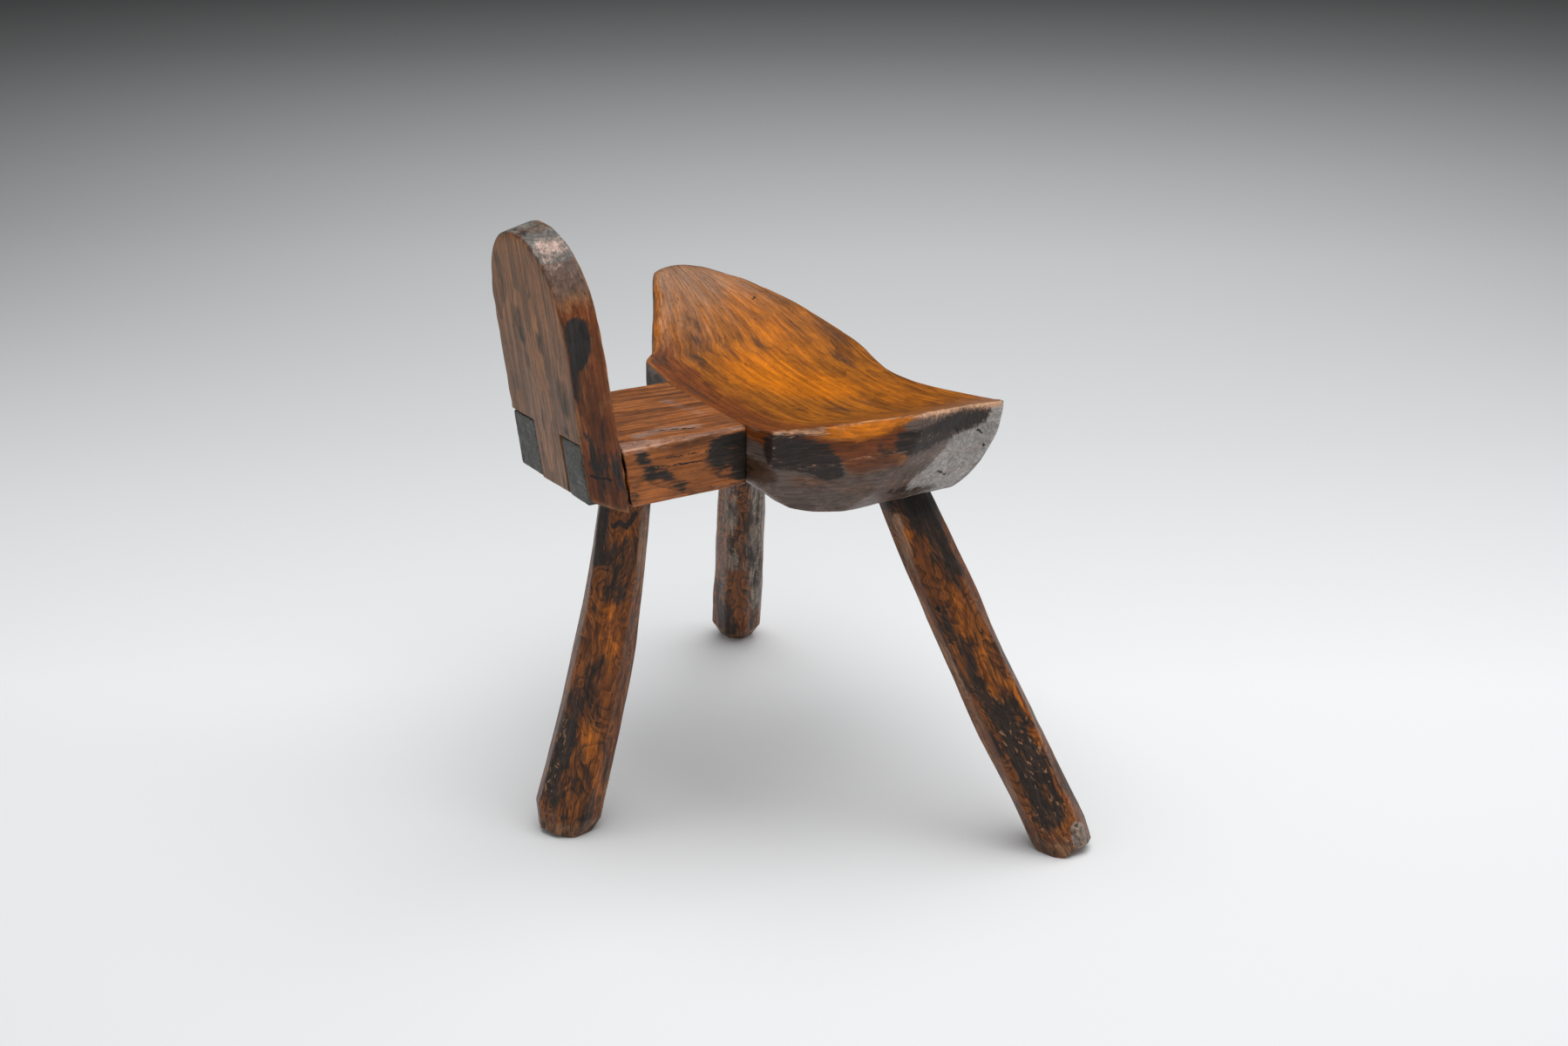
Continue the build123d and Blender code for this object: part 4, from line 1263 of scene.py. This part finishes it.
class Net:
    """Adds nodes to one tree and joins them."""

    def __init__(self, tree: bpy.types.NodeTree) -> None:
        """Keeps the tree."""
        self.tree = tree

    def add(self, kind: str, values: dict | None = None, **settings: object) -> bpy.types.Node:
        """Adds one node.

        Args:
            kind: Blender's name of the node type.
            values: input socket name or number to a value or to a socket to join it to.
            settings: the node's own properties.

        Returns:
            The node.
        """
        node = self.tree.nodes.new(kind)
        for name, value in settings.items():
            setattr(node, name, value)
        for name, value in (values or {}).items():
            self.feed(node.inputs[name], value)
        return node

    def feed(self, socket: bpy.types.NodeSocket, value: object) -> None:
        """Joins a socket to another, or sets its value."""
        if isinstance(value, bpy.types.NodeSocket):
            self.tree.links.new(value, socket)
        else:
            socket.default_value = value

    def math(self, operation: str, first: object, second: object = 0.0, clamp: bool = False) -> bpy.types.NodeSocket:
        """Returns the result of a Math node."""
        return self.add("ShaderNodeMath", {0: first, 1: second}, operation=operation, use_clamp=clamp).outputs[0]

    def times(self, *factors: object) -> bpy.types.NodeSocket:
        """Returns the product of the factors."""
        return reduce(lambda product, factor: self.math("MULTIPLY", product, factor), factors)

    def plus(self, first: object, second: object) -> bpy.types.NodeSocket:
        """Returns the sum."""
        return self.math("ADD", first, second)

    def minus(self, first: object, second: object) -> bpy.types.NodeSocket:
        """Returns the first less the second."""
        return self.math("SUBTRACT", first, second)

    def vector(self, operation: str, first: object, second: object, third: object = None) -> bpy.types.NodeSocket:
        """Adds a Vector Math node.

        Args:
            operation: Blender's name of the operation.
            first: the first vector.
            second: the second vector, or the number that SCALE takes.
            third: the third vector, where the operation takes one.

        Returns:
            The resulting vector, or for a dot product or a distance the resulting number.
        """
        values = {0: first, 3 if operation == "SCALE" else 1: second}
        if third is not None:
            values[2] = third
        node = self.add("ShaderNodeVectorMath", values, operation=operation)
        return node.outputs["Value" if operation in ("DOT_PRODUCT", "DISTANCE") else "Vector"]

    def group(self, tree: bpy.types.NodeTree, values: dict[str, object]) -> bpy.types.Node:
        """Places a node group and gives it its values."""
        return self.add("ShaderNodeGroup", values, node_tree=tree)

    def mix(self, share: object, first: object, second: object) -> bpy.types.NodeSocket:
        """Returns the mix of two colours."""
        return self.add("ShaderNodeMix", {0: share, 6: first, 7: second}, data_type="RGBA").outputs[2]

    def ramp(self, value: object, low: object, high: object, start: object = 0.0,
             end: object = 1.0) -> bpy.types.NodeSocket:
        """Returns a smooth ramp from start at low to end at high."""
        node = self.add("ShaderNodeMapRange", {0: value, 1: low, 2: high, 3: start, 4: end},
                        interpolation_type="SMOOTHSTEP")
        return node.outputs[0]

    def noise(self, vector: object, scale: Point, detail: float = 3.0, roughness: float = 0.55,
              distortion: object = 0.0) -> bpy.types.NodeSocket:
        """Returns noise from 0 to 1, its scale given as cells per mm along each axis."""
        return self.add("ShaderNodeTexNoise", {
            "Vector": self.vector("MULTIPLY", vector, scale), "Scale": 1.0, "Detail": detail,
            "Roughness": roughness, "Distortion": distortion,
        }).outputs[0]

    def mask(self, mask: Mask) -> bpy.types.NodeSocket:
        """Returns one of the piece's masks."""
        return self.add("ShaderNodeAttribute", attribute_name=mask.value).outputs["Fac"]

    def grain(self) -> bpy.types.NodeSocket:
        """Returns the wood's own coordinates."""
        return self.add("ShaderNodeAttribute", attribute_name="grain").outputs["Vector"]


def new_material(name: str) -> tuple[bpy.types.Material, Net]:
    """Starts a material with an empty node tree.

    Args:
        name: the material's name.

    Returns:
        The material and the net of its tree.
    """
    made = bpy.data.materials.new(name)
    made.use_nodes = True
    made.node_tree.nodes.clear()
    return made, Net(made.node_tree)


def new_group(name: str, inputs: dict[str, object],
              outputs: Sequence[str]) -> "tuple[Net, bpy.types.NodeOutputs, bpy.types.NodeInputs]":
    """Starts a shader node group.

    Args:
        name: the group's name.
        inputs: each input's value by its name: a number, a colour, or None for a vector.
        outputs: the outputs' names. One called Color is a colour, and the others are numbers.

    Returns:
        The net, the sockets that bring the group its inputs, and those that take its outputs.
    """
    tree = bpy.data.node_groups.new(name, "ShaderNodeTree")
    for label, value in inputs.items():
        kind = "Vector" if value is None else "Color" if isinstance(value, tuple) else "Float"
        socket = tree.interface.new_socket(name=label, in_out="INPUT", socket_type=f"NodeSocket{kind}")
        if value is not None:
            socket.default_value = value
    for label in outputs:
        kind = "Color" if label == "Color" else "Float"
        tree.interface.new_socket(name=label, in_out="OUTPUT", socket_type=f"NodeSocket{kind}")
    net = Net(tree)
    return net, net.add("NodeGroupInput").outputs, net.add("NodeGroupOutput").inputs


GREY = (0.2, 0.2, 0.2, 1.0)           # a colour input before its finish sets it
GRIME = (0.014, 0.010, 0.008, 1.0)    # in the nicks
GAP = (0.008, 0.006, 0.005, 1.0)      # in the pores and cracks


def ragged_group() -> bpy.types.NodeTree:
    """Frays a mask's soft border: ramp of (mask + reach (noise - 1/2)), with the noise drawn out along the grain."""
    net, given, made = new_group(
        "ragged", {"Mask": 0.0, "Grain": None, "Fineness": 1.0, "Reach": 0.8, "Crispness": 0.15}, ["Share"],
    )
    fine = net.vector("SCALE", given["Grain"], given["Fineness"])
    blots = net.ramp(net.noise(fine, (0.085, 0.085, 0.026), 5.0, 0.62, 0.5), 0.28, 0.72)
    threads = net.ramp(net.noise(fine, (0.4, 0.4, 0.02), 3.0, 0.6), 0.3, 0.7)
    wander = net.plus(net.times(blots, 0.68), net.times(threads, 0.32))
    lifted = net.plus(given["Mask"], net.times(net.minus(wander, 0.5), given["Reach"]))
    shown = net.ramp(lifted, net.minus(0.5, given["Crispness"]), net.plus(0.5, given["Crispness"]))
    net.feed(made["Share"], net.times(shown, net.ramp(given["Mask"], 0.0, 0.08)))
    return net.tree


def figure_group() -> bpy.types.NodeTree:
    """Figure of the wood, drawn out along the grain.

    Growth bands are the contour lines of a broad noise: 1 - fract(rings noise + jags) ^ 1.4, so each band darkens
    slowly and ends sharply. Streaks and fibres are finer noises, and pores are the tips of the finest one.
    """
    net, given, made = new_group(
        "figure", {"Grain": None, "Rings": 7.0, "Burl": 1.0, "Stretch": 1.0, "Wild": 0.5},
        ["Bands", "Streaks", "Fibres", "Pores"],
    )
    stretch = net.add("ShaderNodeCombineXYZ", {0: 1.0, 1: 1.0, 2: given["Stretch"]}).outputs[0]
    grain = net.vector("MULTIPLY", given["Grain"], stretch)
    broad = net.noise(grain, (0.022, 0.022, 0.006), 2.0, 0.5, given["Burl"])
    jags = net.times(net.noise(grain, (0.35, 0.35, 0.10), 2.0, 0.5), 0.35)
    turns = net.math("FRACT", net.plus(net.times(broad, given["Rings"]), jags))
    waves = net.minus(1.0, net.math("POWER", turns, 1.4))
    streaks = net.ramp(net.noise(grain, (0.22, 0.22, 0.0065), 4.0, 0.6, 0.2), 0.3, 0.7)
    fibres = net.ramp(net.noise(grain, (0.36, 0.36, 0.013), 4.0, 0.66), 0.32, 0.68)
    pores = net.ramp(net.noise(grain, (0.9, 0.9, 0.10), 1.0, 0.5), 0.69, 0.76)
    straight = net.times(streaks, net.minus(1.0, given["Wild"]))
    bands = net.plus(net.times(waves, given["Wild"]), straight)
    for name, value in (("Bands", bands), ("Streaks", streaks), ("Fibres", fibres), ("Pores", pores)):
        net.feed(made[name], value)
    return net.tree


@dataclass(frozen=True)
class Layer:
    """How one layer lies on the wood; the layers are worn wood, painted shade and painted sheen.

    fineness and reach fray its border, crispness softens it, gloss adds to the roughness, and tone is how much of
    the wood's figure shows through it.
    """

    name: str
    mask: Mask
    fineness: float
    reach: float
    crispness: float
    gloss: float
    tone: float


LAYERS = (
    Layer("Wax_sheen", Mask.WAX_SHEEN, 0.9, 0.6, 0.5, 0.04, 0.45),
    Layer("Amber", Mask.AMBER, 0.8, 0.6, 0.48, -0.04, 0.6),
    Layer("Rust", Mask.RUST, 1.2, 0.9, 0.3, -0.02, 1.0),
    Layer("Ash_sheen", Mask.ASH_SHEEN, 0.6, 0.35, 0.4, 0.04, 0.6),
    Layer("End", Mask.END, 1.2, 0.5, 0.16, 0.16, 0.9),
    Layer("Char", Mask.CHAR, 1.5, 1.0, 0.26, 0.04, 0.9),
    Layer("Pale", Mask.PALE, 3.0, 0.8, 0.3, 0.08, 0.6),
    Layer("Shade", Mask.SHADE, 1.6, 0.7, 0.4, 0.15, 0.5),
)
COLOUR_NAMES = ("Dark", "Light", *[layer.name for layer in LAYERS])


def line_group() -> bpy.types.NodeTree:
    """Share of a thin line: 1 along the run from Start to End, gone at Width from it, all in mm."""
    net, given, made = new_group("line", {"Place": None, "Start": None, "End": None, "Width": 1.0}, ["Share"])
    offset = net.vector("SUBTRACT", given["Place"], given["Start"])
    run = net.vector("SUBTRACT", given["End"], given["Start"])
    along = net.vector("DOT_PRODUCT", offset, run)
    share = net.math("DIVIDE", along, net.vector("DOT_PRODUCT", run, run), clamp=True)
    away = net.vector("DISTANCE", offset, net.vector("SCALE", run, share))
    net.feed(made["Share"], net.ramp(net.math("DIVIDE", away, given["Width"]), 0.45, 1.0, 1.0, 0.0))
    return net.tree


def chipped_group() -> bpy.types.NodeTree:
    """Nicks and chips: small cells drawn out along the grain, some of them dark and a few of them pale."""
    net, given, made = new_group("chipped", {"Grain": None, "Mask": 0.0}, ["Nicks", "Chips"])
    warp = net.add("ShaderNodeTexNoise", {"Vector": given["Grain"], "Scale": 0.16, "Detail": 2.0})
    moved = net.vector("MULTIPLY_ADD", warp.outputs["Color"], (9.0, 9.0, 14.0), given["Grain"])
    kinds = (("Nicks", (0.24, 0.24, 0.1), 0.50, 0.58), ("Chips", (0.34, 0.34, 0.17), 0.76, 0.86))
    for name, cell, low, high in kinds:
        cells = net.add("ShaderNodeTexVoronoi", {"Vector": net.vector("MULTIPLY", moved, cell), "Scale": 1.0})
        tone = net.add("ShaderNodeSeparateColor", {0: cells.outputs["Color"]}).outputs[0]
        inside = net.ramp(cells.outputs["Distance"], 0.3, 0.5, 1.0, 0.0)
        net.feed(made[name], net.times(net.ramp(tone, low, high), inside, net.ramp(given["Mask"], 0.1, 0.6)))
    return net.tree


def hewn_group(ragged: bpy.types.NodeTree, figure_tree: bpy.types.NodeTree,
               chipped: bpy.types.NodeTree) -> bpy.types.NodeTree:
    """Wood that was hewn, waxed, greyed and burnt, with painted shade and sheen: lays each layer over the plain wood
    by its ragged mask.
    """
    net, given, made = new_group(
        "hewn_wood",
        {**{name: GREY for name in COLOUR_NAMES}, "Rings": 7.0, "Burl": 1.0, "Stretch": 1.0, "Wild": 0.5,
         "Contrast": 1.0, "Polish": 0.4, "Cracks": 0.0},
        ["Color", "Roughness", "Height"],
    )
    grain = net.grain()
    drawn = {name: given[name] for name in ("Rings", "Burl", "Stretch", "Wild")}
    figure = net.group(figure_tree, {"Grain": grain, **drawn}).outputs

    def swing(value: object, low: float, high: float, down: float, up: float) -> bpy.types.NodeSocket:
        """Returns a factor that runs from 1 - contrast down to 1 + contrast up."""
        least = net.minus(1.0, net.times(given["Contrast"], down))
        return net.ramp(value, low, high, least, net.plus(1.0, net.times(given["Contrast"], up)))

    colour = net.mix(net.ramp(figure["Bands"], 0.15, 0.85), given["Dark"], given["Light"])
    rough = given["Polish"]
    for layer in LAYERS:
        share = net.group(ragged, {
            "Mask": net.mask(layer.mask), "Grain": grain, "Fineness": layer.fineness, "Reach": layer.reach,
            "Crispness": layer.crispness,
        }).outputs["Share"]
        tone = swing(figure["Bands"], 0.1, 0.9, 0.42 * layer.tone, 0.36 * layer.tone)
        colour = net.mix(share, colour, net.vector("SCALE", given[layer.name], tone))
        rough = net.plus(rough, net.times(share, layer.gloss))
    fibres = swing(figure["Fibres"], 0.0, 1.0, 0.34, 0.30)
    patches = net.ramp(net.noise(grain, (0.045, 0.045, 0.022), 3.0, 0.6), 0.3, 0.7, 0.82, 1.14)
    mottle = swing(net.noise(grain, (0.17, 0.17, 0.12), 4.0, 0.62, 0.4), 0.3, 0.7, 0.16, 0.14)
    colour = net.vector("SCALE", colour, net.times(fibres, patches, mottle))
    marks = net.group(chipped, {"Grain": grain, "Mask": net.mask(Mask.SCAR)}).outputs
    nicks, chips, cracks = marks["Nicks"], marks["Chips"], given["Cracks"]
    colour = net.mix(net.times(nicks, 0.8), colour, GRIME)
    colour = net.mix(net.times(chips, 0.6), colour, given["Pale"])
    colour = net.mix(net.math("MAXIMUM", net.times(figure["Pores"], 0.7), cracks), colour, GAP)
    height = net.plus(net.times(figure["Fibres"], 0.35), net.times(figure["Streaks"], 0.8))
    height = net.plus(height, net.times(net.noise(grain, (0.12, 0.12, 0.07), 5.0, 0.55), 2.2))
    for sunk, depth in ((figure["Pores"], 1.5), (nicks, 2.0), (chips, 1.2), (cracks, 3.0)):
        height = net.minus(height, net.times(sunk, depth))
    for name, value in (("Color", colour), ("Roughness", rough), ("Height", height)):
        net.feed(made[name], value)
    return net.tree


@dataclass(frozen=True)
class Crack:
    """An open check or slot: a thin wavering line between two points in mm."""

    start: Point
    end: Point
    width: float = 1.5


@dataclass(frozen=True)
class WoodFinish:
    """Colours of one finish, in display values: the plain wood's dark and light bands, then each layer of wear,
    painted shade and painted sheen.

    The numbers after them drive the wood group. wander is how far the cracks stray from a straight line, in mm.
    """

    slot: Finish
    dark: Colour
    light: Colour
    wax_sheen: Colour
    amber: Colour
    rust: Colour
    ash_sheen: Colour
    end: Colour
    char: Colour
    pale: Colour
    shade: Colour
    rings: float
    burl: float
    stretch: float
    wild: float
    contrast: float
    polish: float
    relief: float
    sheen: float
    cracks: tuple[Crack, ...]
    wander: float = 4.0

    def material(self, hewn: bpy.types.NodeTree, line: bpy.types.NodeTree) -> bpy.types.Material:
        """Returns the finish as a material: the shared wood group feeds one Principled shader."""
        made, net = new_material(self.slot.value)
        values = {name: srgb(*getattr(self, name.lower())) for name in COLOUR_NAMES}
        for name in ("Rings", "Burl", "Stretch", "Wild", "Contrast", "Polish"):
            values[name] = getattr(self, name.lower())
        wood = net.group(hewn, {**values, "Cracks": self.crack_share(net, line)}).outputs
        bump = net.add("ShaderNodeBump", {"Strength": 1.0, "Distance": self.relief * METRES,
                                          "Height": wood["Height"]})
        shader = net.add("ShaderNodeBsdfPrincipled", {
            "Base Color": wood["Color"], "Roughness": wood["Roughness"], "Normal": bump.outputs[0], "IOR": 1.5,
            "Specular IOR Level": self.sheen,
        })
        net.add("ShaderNodeOutputMaterial", {"Surface": shader.outputs[0]})
        return made

    def crack_share(self, net: Net, line: bpy.types.NodeTree) -> bpy.types.NodeSocket:
        """Returns where the cracks lie, as the largest share of all their lines."""
        place = net.add("ShaderNodeTexCoord").outputs["Object"]
        place = net.vector("MULTIPLY_ADD", place, (1.0 / METRES,) * 3, tuple(-SEAT_ORIGIN))
        stray = net.add("ShaderNodeTexNoise", {"Vector": place, "Scale": 0.22, "Detail": 3.0}).outputs["Color"]
        place = net.vector("MULTIPLY_ADD", stray, (self.wander,) * 3, place)
        shares = []
        for crack in self.cracks:
            start, end = (tuple(c + self.wander / 2.0 for c in point) for point in (crack.start, crack.end))
            values = {"Place": place, "Start": start, "End": end, "Width": crack.width}
            shares.append(net.group(line, values).outputs["Share"])
        return reduce(lambda most, share: net.math("MAXIMUM", most, share), shares)


FINISHES = (
    WoodFinish(Finish.SEAT, dark=(112, 62, 12), light=(154, 88, 16), wax_sheen=(146, 108, 82), amber=(182, 100, 4),
               rust=(106, 54, 20), ash_sheen=(98, 82, 74), end=(150, 144, 140), char=(45, 36, 32), pale=(192, 148, 116),
               shade=(66, 42, 26), rings=7.0, burl=0.6, stretch=1.0, wild=0.4, contrast=0.65, polish=0.34,
               relief=0.22, sheen=0.26, cracks=(
                   Crack((-1.0, -74.0, 329.0), (5.0, -95.0, 331.0), 1.6),
                   Crack((5.0, -95.0, 331.0), (13.0, -108.0, 330.0)),
                   Crack((133.0, -223.0, 386.0), (140.0, -221.0, 380.0)),
                   Crack((116.0, -190.0, 342.0), (128.0, -182.0, 334.0)),
                   Crack((107.0, -227.0, 395.0), (111.0, -226.0, 391.0), 2.0),
                   Crack((147.0, -211.0, 368.0), (150.0, -209.0, 364.0)),
                   Crack((149.0, 172.0, 389.0), (156.0, 176.0, 391.0), 1.2),
               )),
    WoodFinish(Finish.TONGUE, dark=(92, 52, 28), light=(150, 90, 46), wax_sheen=(132, 108, 96), amber=(160, 96, 40),
               rust=(138, 78, 34), ash_sheen=(110, 92, 80), end=(82, 82, 78), char=(36, 30, 26), pale=(172, 126, 102),
               shade=(12, 10, 9), rings=5.0, burl=0.3, stretch=1.0, wild=0.5, contrast=0.75, polish=0.42,
               relief=0.3, sheen=0.28, cracks=(
                   Crack((-74.0, -46.0, 368.0), (-58.0, -50.0, 367.5), 1.3),
                   Crack((-58.0, -50.0, 367.5), (-42.0, -54.0, 367.0), 1.3),
                   Crack((-96.0, -70.0, 346.0), (-40.0, -70.0, 343.0), 0.7),
                   Crack((-80.0, -70.0, 352.0), (-20.0, -70.0, 350.0), 0.6),
               )),
    WoodFinish(Finish.BOARD, dark=(98, 66, 40), light=(148, 98, 58), wax_sheen=(120, 92, 74), amber=(174, 92, 28),
               rust=(100, 52, 24), ash_sheen=(98, 75, 62), end=(104, 98, 92), char=(41, 37, 35), pale=(180, 154, 142),
               shade=(52, 54, 48), rings=5.0, burl=0.3, stretch=0.8, wild=0.5, contrast=0.75, polish=0.42,
               relief=0.3, sheen=0.26, cracks=(
                   Crack((-146.0, -58.0, 345.0), (-138.0, -61.0, 342.0), 1.4),
                   Crack((-138.0, -61.0, 342.0), (-130.0, -65.0, 341.0), 1.4),
               )),
    WoodFinish(Finish.LEG, dark=(44, 28, 18), light=(134, 76, 26), wax_sheen=(142, 106, 80), amber=(172, 94, 20),
               rust=(104, 56, 20), ash_sheen=(120, 92, 70), end=(122, 108, 96), char=(44, 32, 25), pale=(166, 120, 86),
               shade=(22, 17, 14), rings=9.0, burl=2.0, stretch=2.6, wild=0.78, contrast=0.9, polish=0.36,
               relief=0.4, sheen=0.26, cracks=(
                   Crack((121.0, -186.0, 214.0), (126.0, -188.0, 204.0), 2.0),
                   Crack((154.0, -232.0, 132.0), (157.0, -240.0, 120.0), 2.4),
                   Crack((-157.0, -25.0, 70.0), (-160.0, -24.0, 58.0), 1.8),
                   Crack((-164.0, -25.0, 55.0), (-167.0, -24.0, 44.0), 1.8),
                   Crack((-168.0, -26.0, 38.0), (-172.0, -22.0, 30.0), 1.8),
               )),
)


# ---------------------------------------------------------------- stage
@dataclass
class Studio:
    """Pale floor painted darker with distance, one broad soft light overhead, an even world and the camera."""

    floor_half: float = 9.0
    # How far ahead of the stool in metres, and the floor's tone there; the tones paint the light's falloff with
    # distance, as painted shade.
    floor_tones: Path = (
        (-1.0, 0.70), (-0.2, 0.745), (0.2, 0.775), (0.6, 0.69), (0.9, 0.625), (1.2, 0.58), (1.6, 0.53),
        (2.0, 0.425), (2.4, 0.3), (2.75, 0.182), (3.1, 0.095), (4.0, 0.032),
    )
    # Towards its sides the far floor is painted darker as a bell curve round this line, of this half width, in
    # metres: painted shade of the light's falloff.
    bell_middle: float = 0.25
    bell_width: float = 1.9
    lamp_at: Point = (0.34, -0.52, 3.6)
    lamp_aim: Point = (0.0, 0.0, 0.2)
    lamp_side: float = 3.8
    lamp_watts: float = 134.0
    sky: Colour = (0.96, 0.98, 1.0)
    sky_strength: float = 0.52
    backdrop_strength: float = 0.05
    # The camera's place in the seat's frame, its three directions in the stool's frame, and its lens.
    camera_at: Point = (-1422.97, -2481.82, 1384.11)
    right: Point = (0.85595, -0.51705, 0.00210)
    up: Point = (0.18838, 0.31564, 0.92999)
    forward: Point = (0.48152, 0.79563, -0.36758)
    lens: float = 80.07
    sensor: float = 36.0

    def camera(self) -> None:
        """Places the camera by its own three directions."""
        data = bpy.data.cameras.new("view")
        data.lens, data.sensor_width, data.clip_end = self.lens, self.sensor, 60.0
        view = placed("view", data)
        turned = Matrix((self.right, self.up, [-c for c in self.forward])).transposed().to_4x4()
        turned.translation = to_row(np.array(self.camera_at)).tolist()
        view.matrix_world = turned
        bpy.context.scene.camera = view

    def floor(self) -> None:
        """Lays the floor, pale round the stool and painted darker with distance and towards the sides, as painted
        shade of the light's falloff.
        """
        half = self.floor_half
        mesh = bpy.data.meshes.new("studio_floor")
        mesh.from_pydata([(-half, -half, 0.0), (half, -half, 0.0), (half, half, 0.0), (-half, half, 0.0)], [],
                         [(0, 1, 2, 3)])
        placed("studio_floor", mesh)
        made, net = new_material("studio_floor")
        place = net.add("ShaderNodeTexCoord").outputs["Object"]
        ahead, aside = (
            net.vector("DOT_PRODUCT", place, tuple(unit((way[0], way[1], 0.0)))) for way in (self.forward, self.right)
        )
        near, far = self.floor_tones[0][0], self.floor_tones[-1][0]
        ramp = net.add("ShaderNodeValToRGB", {0: net.math("DIVIDE", net.minus(ahead, near), far - near)})
        elements = ramp.color_ramp.elements
        while len(elements) < len(self.floor_tones):
            elements.new(0.5)
        for element, (metres, tone) in zip(elements, self.floor_tones):
            element.position = (metres - near) / (far - near)
            element.color = (tone, tone * 1.005, tone * 1.01, 1.0)
        off = net.math("DIVIDE", net.minus(aside, self.bell_middle), self.bell_width)
        lost = net.minus(1.0, net.math("EXPONENT", net.times(off, off, -1.0)))
        kept = net.minus(1.0, net.times(lost, net.ramp(ahead, 0.6, 1.8, 0.2, 1.0)))
        shader = net.add("ShaderNodeBsdfPrincipled", {
            "Base Color": net.vector("SCALE", ramp.outputs[0], kept), "Roughness": 0.75, "Specular IOR Level": 0.2,
        })
        net.add("ShaderNodeOutputMaterial", {"Surface": shader.outputs[0]})
        mesh.materials.append(made)

    def lamp(self) -> None:
        """Hangs the square soft lamp over the stool."""
        data = bpy.data.lights.new("overhead", "AREA")
        data.shape, data.size, data.energy = "SQUARE", self.lamp_side, self.lamp_watts
        back = unit(np.array(self.lamp_at) - np.array(self.lamp_aim))
        across = unit(np.cross((0.0, 1.0, 0.0), back))
        turned = Matrix((across, np.cross(back, across), back)).transposed().to_4x4()
        turned.translation = self.lamp_at
        placed("overhead", data).matrix_world = turned

    def light(self) -> None:
        """Sets the lamp and the world, which is even but for a dark backdrop low behind the stool."""
        self.lamp()
        world = bpy.data.worlds.new("studio")
        world.use_nodes = True
        world.node_tree.nodes.clear()
        net = Net(world.node_tree)
        heading = net.add("ShaderNodeTexCoord").outputs["Generated"]
        behind = net.vector("DOT_PRODUCT", heading, tuple(unit((*self.forward[:2], -0.1))))
        strength = net.ramp(behind, 0.55, 0.9, self.sky_strength, self.backdrop_strength)
        shade = net.add("ShaderNodeBackground", {"Color": (*self.sky, 1.0), "Strength": strength})
        net.add("ShaderNodeOutputWorld", {"Surface": shade.outputs[0]})
        bpy.context.scene.world = world
        bpy.context.scene.view_settings.view_transform = "Standard"


def main() -> None:
    """Builds the pieces in order, gives them their finishes, then sets the stage."""
    logging.basicConfig(level=logging.INFO, format="%(name)s: %(message)s")
    studio = Studio()
    studio.camera()
    board, tongue = Board(), Tongue()
    pieces = [Seat().build(), tongue.build(board), board.build(tongue), *[leg.build() for leg in LEGS]]
    hewn, line = hewn_group(ragged_group(), figure_group(), chipped_group()), line_group()
    materials = {finish.slot: finish.material(hewn, line) for finish in FINISHES}
    slots = (Finish.SEAT, Finish.TONGUE, Finish.BOARD, Finish.LEG, Finish.LEG, Finish.LEG)
    for piece, slot in zip(pieces, slots):
        piece.data.materials.append(materials[slot])
        LOG.info("%s: %d points in %s", piece.name, len(piece.data.vertices), slot.value)
    studio.floor()
    studio.light()


if __name__ == "__main__":
    main()
